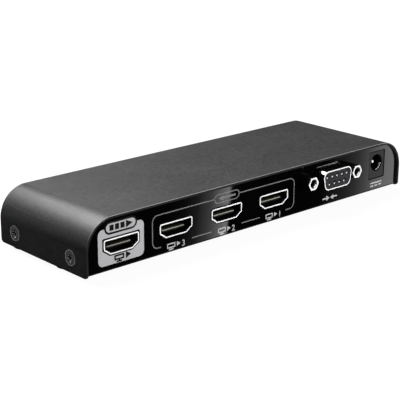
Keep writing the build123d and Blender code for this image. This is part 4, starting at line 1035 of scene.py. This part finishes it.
low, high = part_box("serial_jack_screws")
hex_corner = hex_width / 3 ** 0.5
thread_start = high.y - 0.7 * MM
bore_z = (low.z + high.z) / 2
for side, x in (("left", high.x - hex_corner * MM), ("right", low.x + hex_corner * MM)):
    make_thread(f"jack_thread_{side}", x, bore_z, thread_start, radius=1.2, pitch=0.64, turns=5)
print("threads at Z", round(bore_z / MM, 2))

# %% [markdown]
# Each contact hole of the serial socket gets a flat black ring round its entry, a painted shade, and an
# arc of painted glint inside it. The jack screws get an arc of painted glint before the thread, and the
# power jack a painted glint on the tip of its pin, and the edge of its contact spring, whose front face
# takes a painted highlight. All of them are short lines spun round an axis along Y: once round for a ring
# or a tip, and over part of a turn for an arc that ends where its glint ends in the photograph.

# %% Painted shade rings and painted glints in the sockets and jacks


def spin_piece(name, profile, x, z, material, start=0, angle=360, steps=24):
    """A piece spun round an axis along Y, from a profile of radius and Y in mm and from a start angle."""
    bm = bmesh.new()
    verts = [bm.verts.new((radius * MM, along * MM, 0.0)) for radius, along in profile]
    edges = [bm.edges.new((verts[i], verts[i + 1])) for i in range(len(verts) - 1)]
    bmesh.ops.rotate(bm, verts=verts, cent=(0, 0, 0), matrix=Matrix.Rotation(math.radians(start), 3, "Y"))
    bmesh.ops.spin(bm, geom=verts + edges, cent=(0, 0, 0), axis=(0, 1, 0), dvec=(0, 0, 0),
                   angle=math.radians(angle), steps=steps, use_merge=angle == 360)
    bmesh.ops.recalc_face_normals(bm, faces=bm.faces)
    bmesh.ops.translate(bm, verts=bm.verts, vec=(x * MM, 0, z * MM))
    for face in bm.faces:
        face.smooth = True
    dress_piece(make_object(name, bm), material)


# Near white paint for the painted glints.
painted_glint = make_finish("painted_glint", (0.95, 0.95, 0.95), 0.03, 0.3, 0.05, grain=0.2, lift=0.001)
contact_pitch = 2.77
face_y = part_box("serial_insulator")[1].y / MM
serial_x = middle_x("serial_shell")
# A black ring of painted shade round each hole, and an arc of painted glint in it.
hole_shade_ring_line = [(0.98, face_y + 0.02), (0.63, face_y - 0.02)]
glint_arc_line = [(0.6, face_y - 0.1), (0.22, face_y - 0.1)]
for row, count in ((1, 5), (-1, 4)):
    for i in range(count):
        x = serial_x + (i - (count - 1) / 2) * contact_pitch
        z = serial_z + row * contact_row
        spin_piece(f"hole_shade_{row + 1}_{i}", hole_shade_ring_line, x, z, black_ink)
        spin_piece(f"lip_{row + 1}_{i}", glint_arc_line, x, z, painted_glint, start=5, angle=80,
                   steps=8)

# An arc of painted glint in the mouth of each jack screw.
screw_glint_line = [(1.8, screw_y - 0.03), (1.3, screw_y - 0.5)]
bore_places = (("left", -23.92), ("right", -48.91))
for side, x in bore_places:
    spin_piece(f"jack_screw_glint_{side}", screw_glint_line, x, serial_z, painted_glint, start=105,
               angle=60, steps=8)

pin_radius = 1.0
pin_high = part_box("power_jack_pin")[1]
pin_y = pin_high.y / MM
jack_x = middle_x("power_jack_pin")
jack_z = pin_high.z / MM - pin_radius
# A painted glint on the tip of the power jack's pin.
pin_glint_line = [(0.5, pin_y + 0.01), (0.02, pin_y + 0.06)]
spin_piece("jack_pin_glint", pin_glint_line, jack_x, jack_z, painted_glint, steps=20)
# The spring's front face takes socket_nickel's painted highlight.
spring_line = [(3.2, jack_y - 0.5), (3.02, jack_y - 0.5), (3.02, jack_y - 1.4)]
spin_piece("jack_spring_edge", spring_line, jack_x, jack_z, finishes["socket_nickel"],
           start=95, angle=75, steps=18)
print("serial holes about X", round(serial_x, 2), "power jack at", round(jack_x, 2), round(jack_z, 2))

# %% [markdown]
# A painted glint sits at the lower end of each cross recess of the side screws. It is a small ramp of
# near white paint at the foot of the recess, set just inside the head's face.

# %% Painted glints in the side screws


def make_wedge(name, x, y, z, width, height, depth):
    """A small wedge that faces outwards and up, at a place on an end face; depth points into the case."""
    bm = bmesh.new()
    corners = [(x, y - width / 2, z), (x - depth, y - width / 2, z + height), (x - depth, y - width / 2, z)]
    side = bm.faces.new([bm.verts.new([value * MM for value in corner]) for corner in corners])
    raised = bmesh.ops.extrude_face_region(bm, geom=[side])
    verts = [item for item in raised["geom"] if isinstance(item, bmesh.types.BMVert)]
    bmesh.ops.translate(bm, verts=verts, vec=(0, width * MM, 0))
    bmesh.ops.recalc_face_normals(bm, faces=bm.faces)
    dress_piece(make_object(name, bm), painted_glint)


wedge_x, wedge_depth = 79.98, 0.5
wedge_width, wedge_height = 0.72, 0.9
head_z, recess_half = 7.1, 1.64
head_places = (("rear", 13.75), ("front", -18.55))
wedge_z = head_z - recess_half
# Each wedge is a painted glint.
for end, side in (("left", 1), ("right", -1)):
    for place, y in head_places:
        make_wedge(f"recess_glint_{end}_{place}", side * wedge_x, y, wedge_z, wedge_width, wedge_height,
                   side * wedge_depth)
print("driver marks at Z", round(wedge_z, 2))
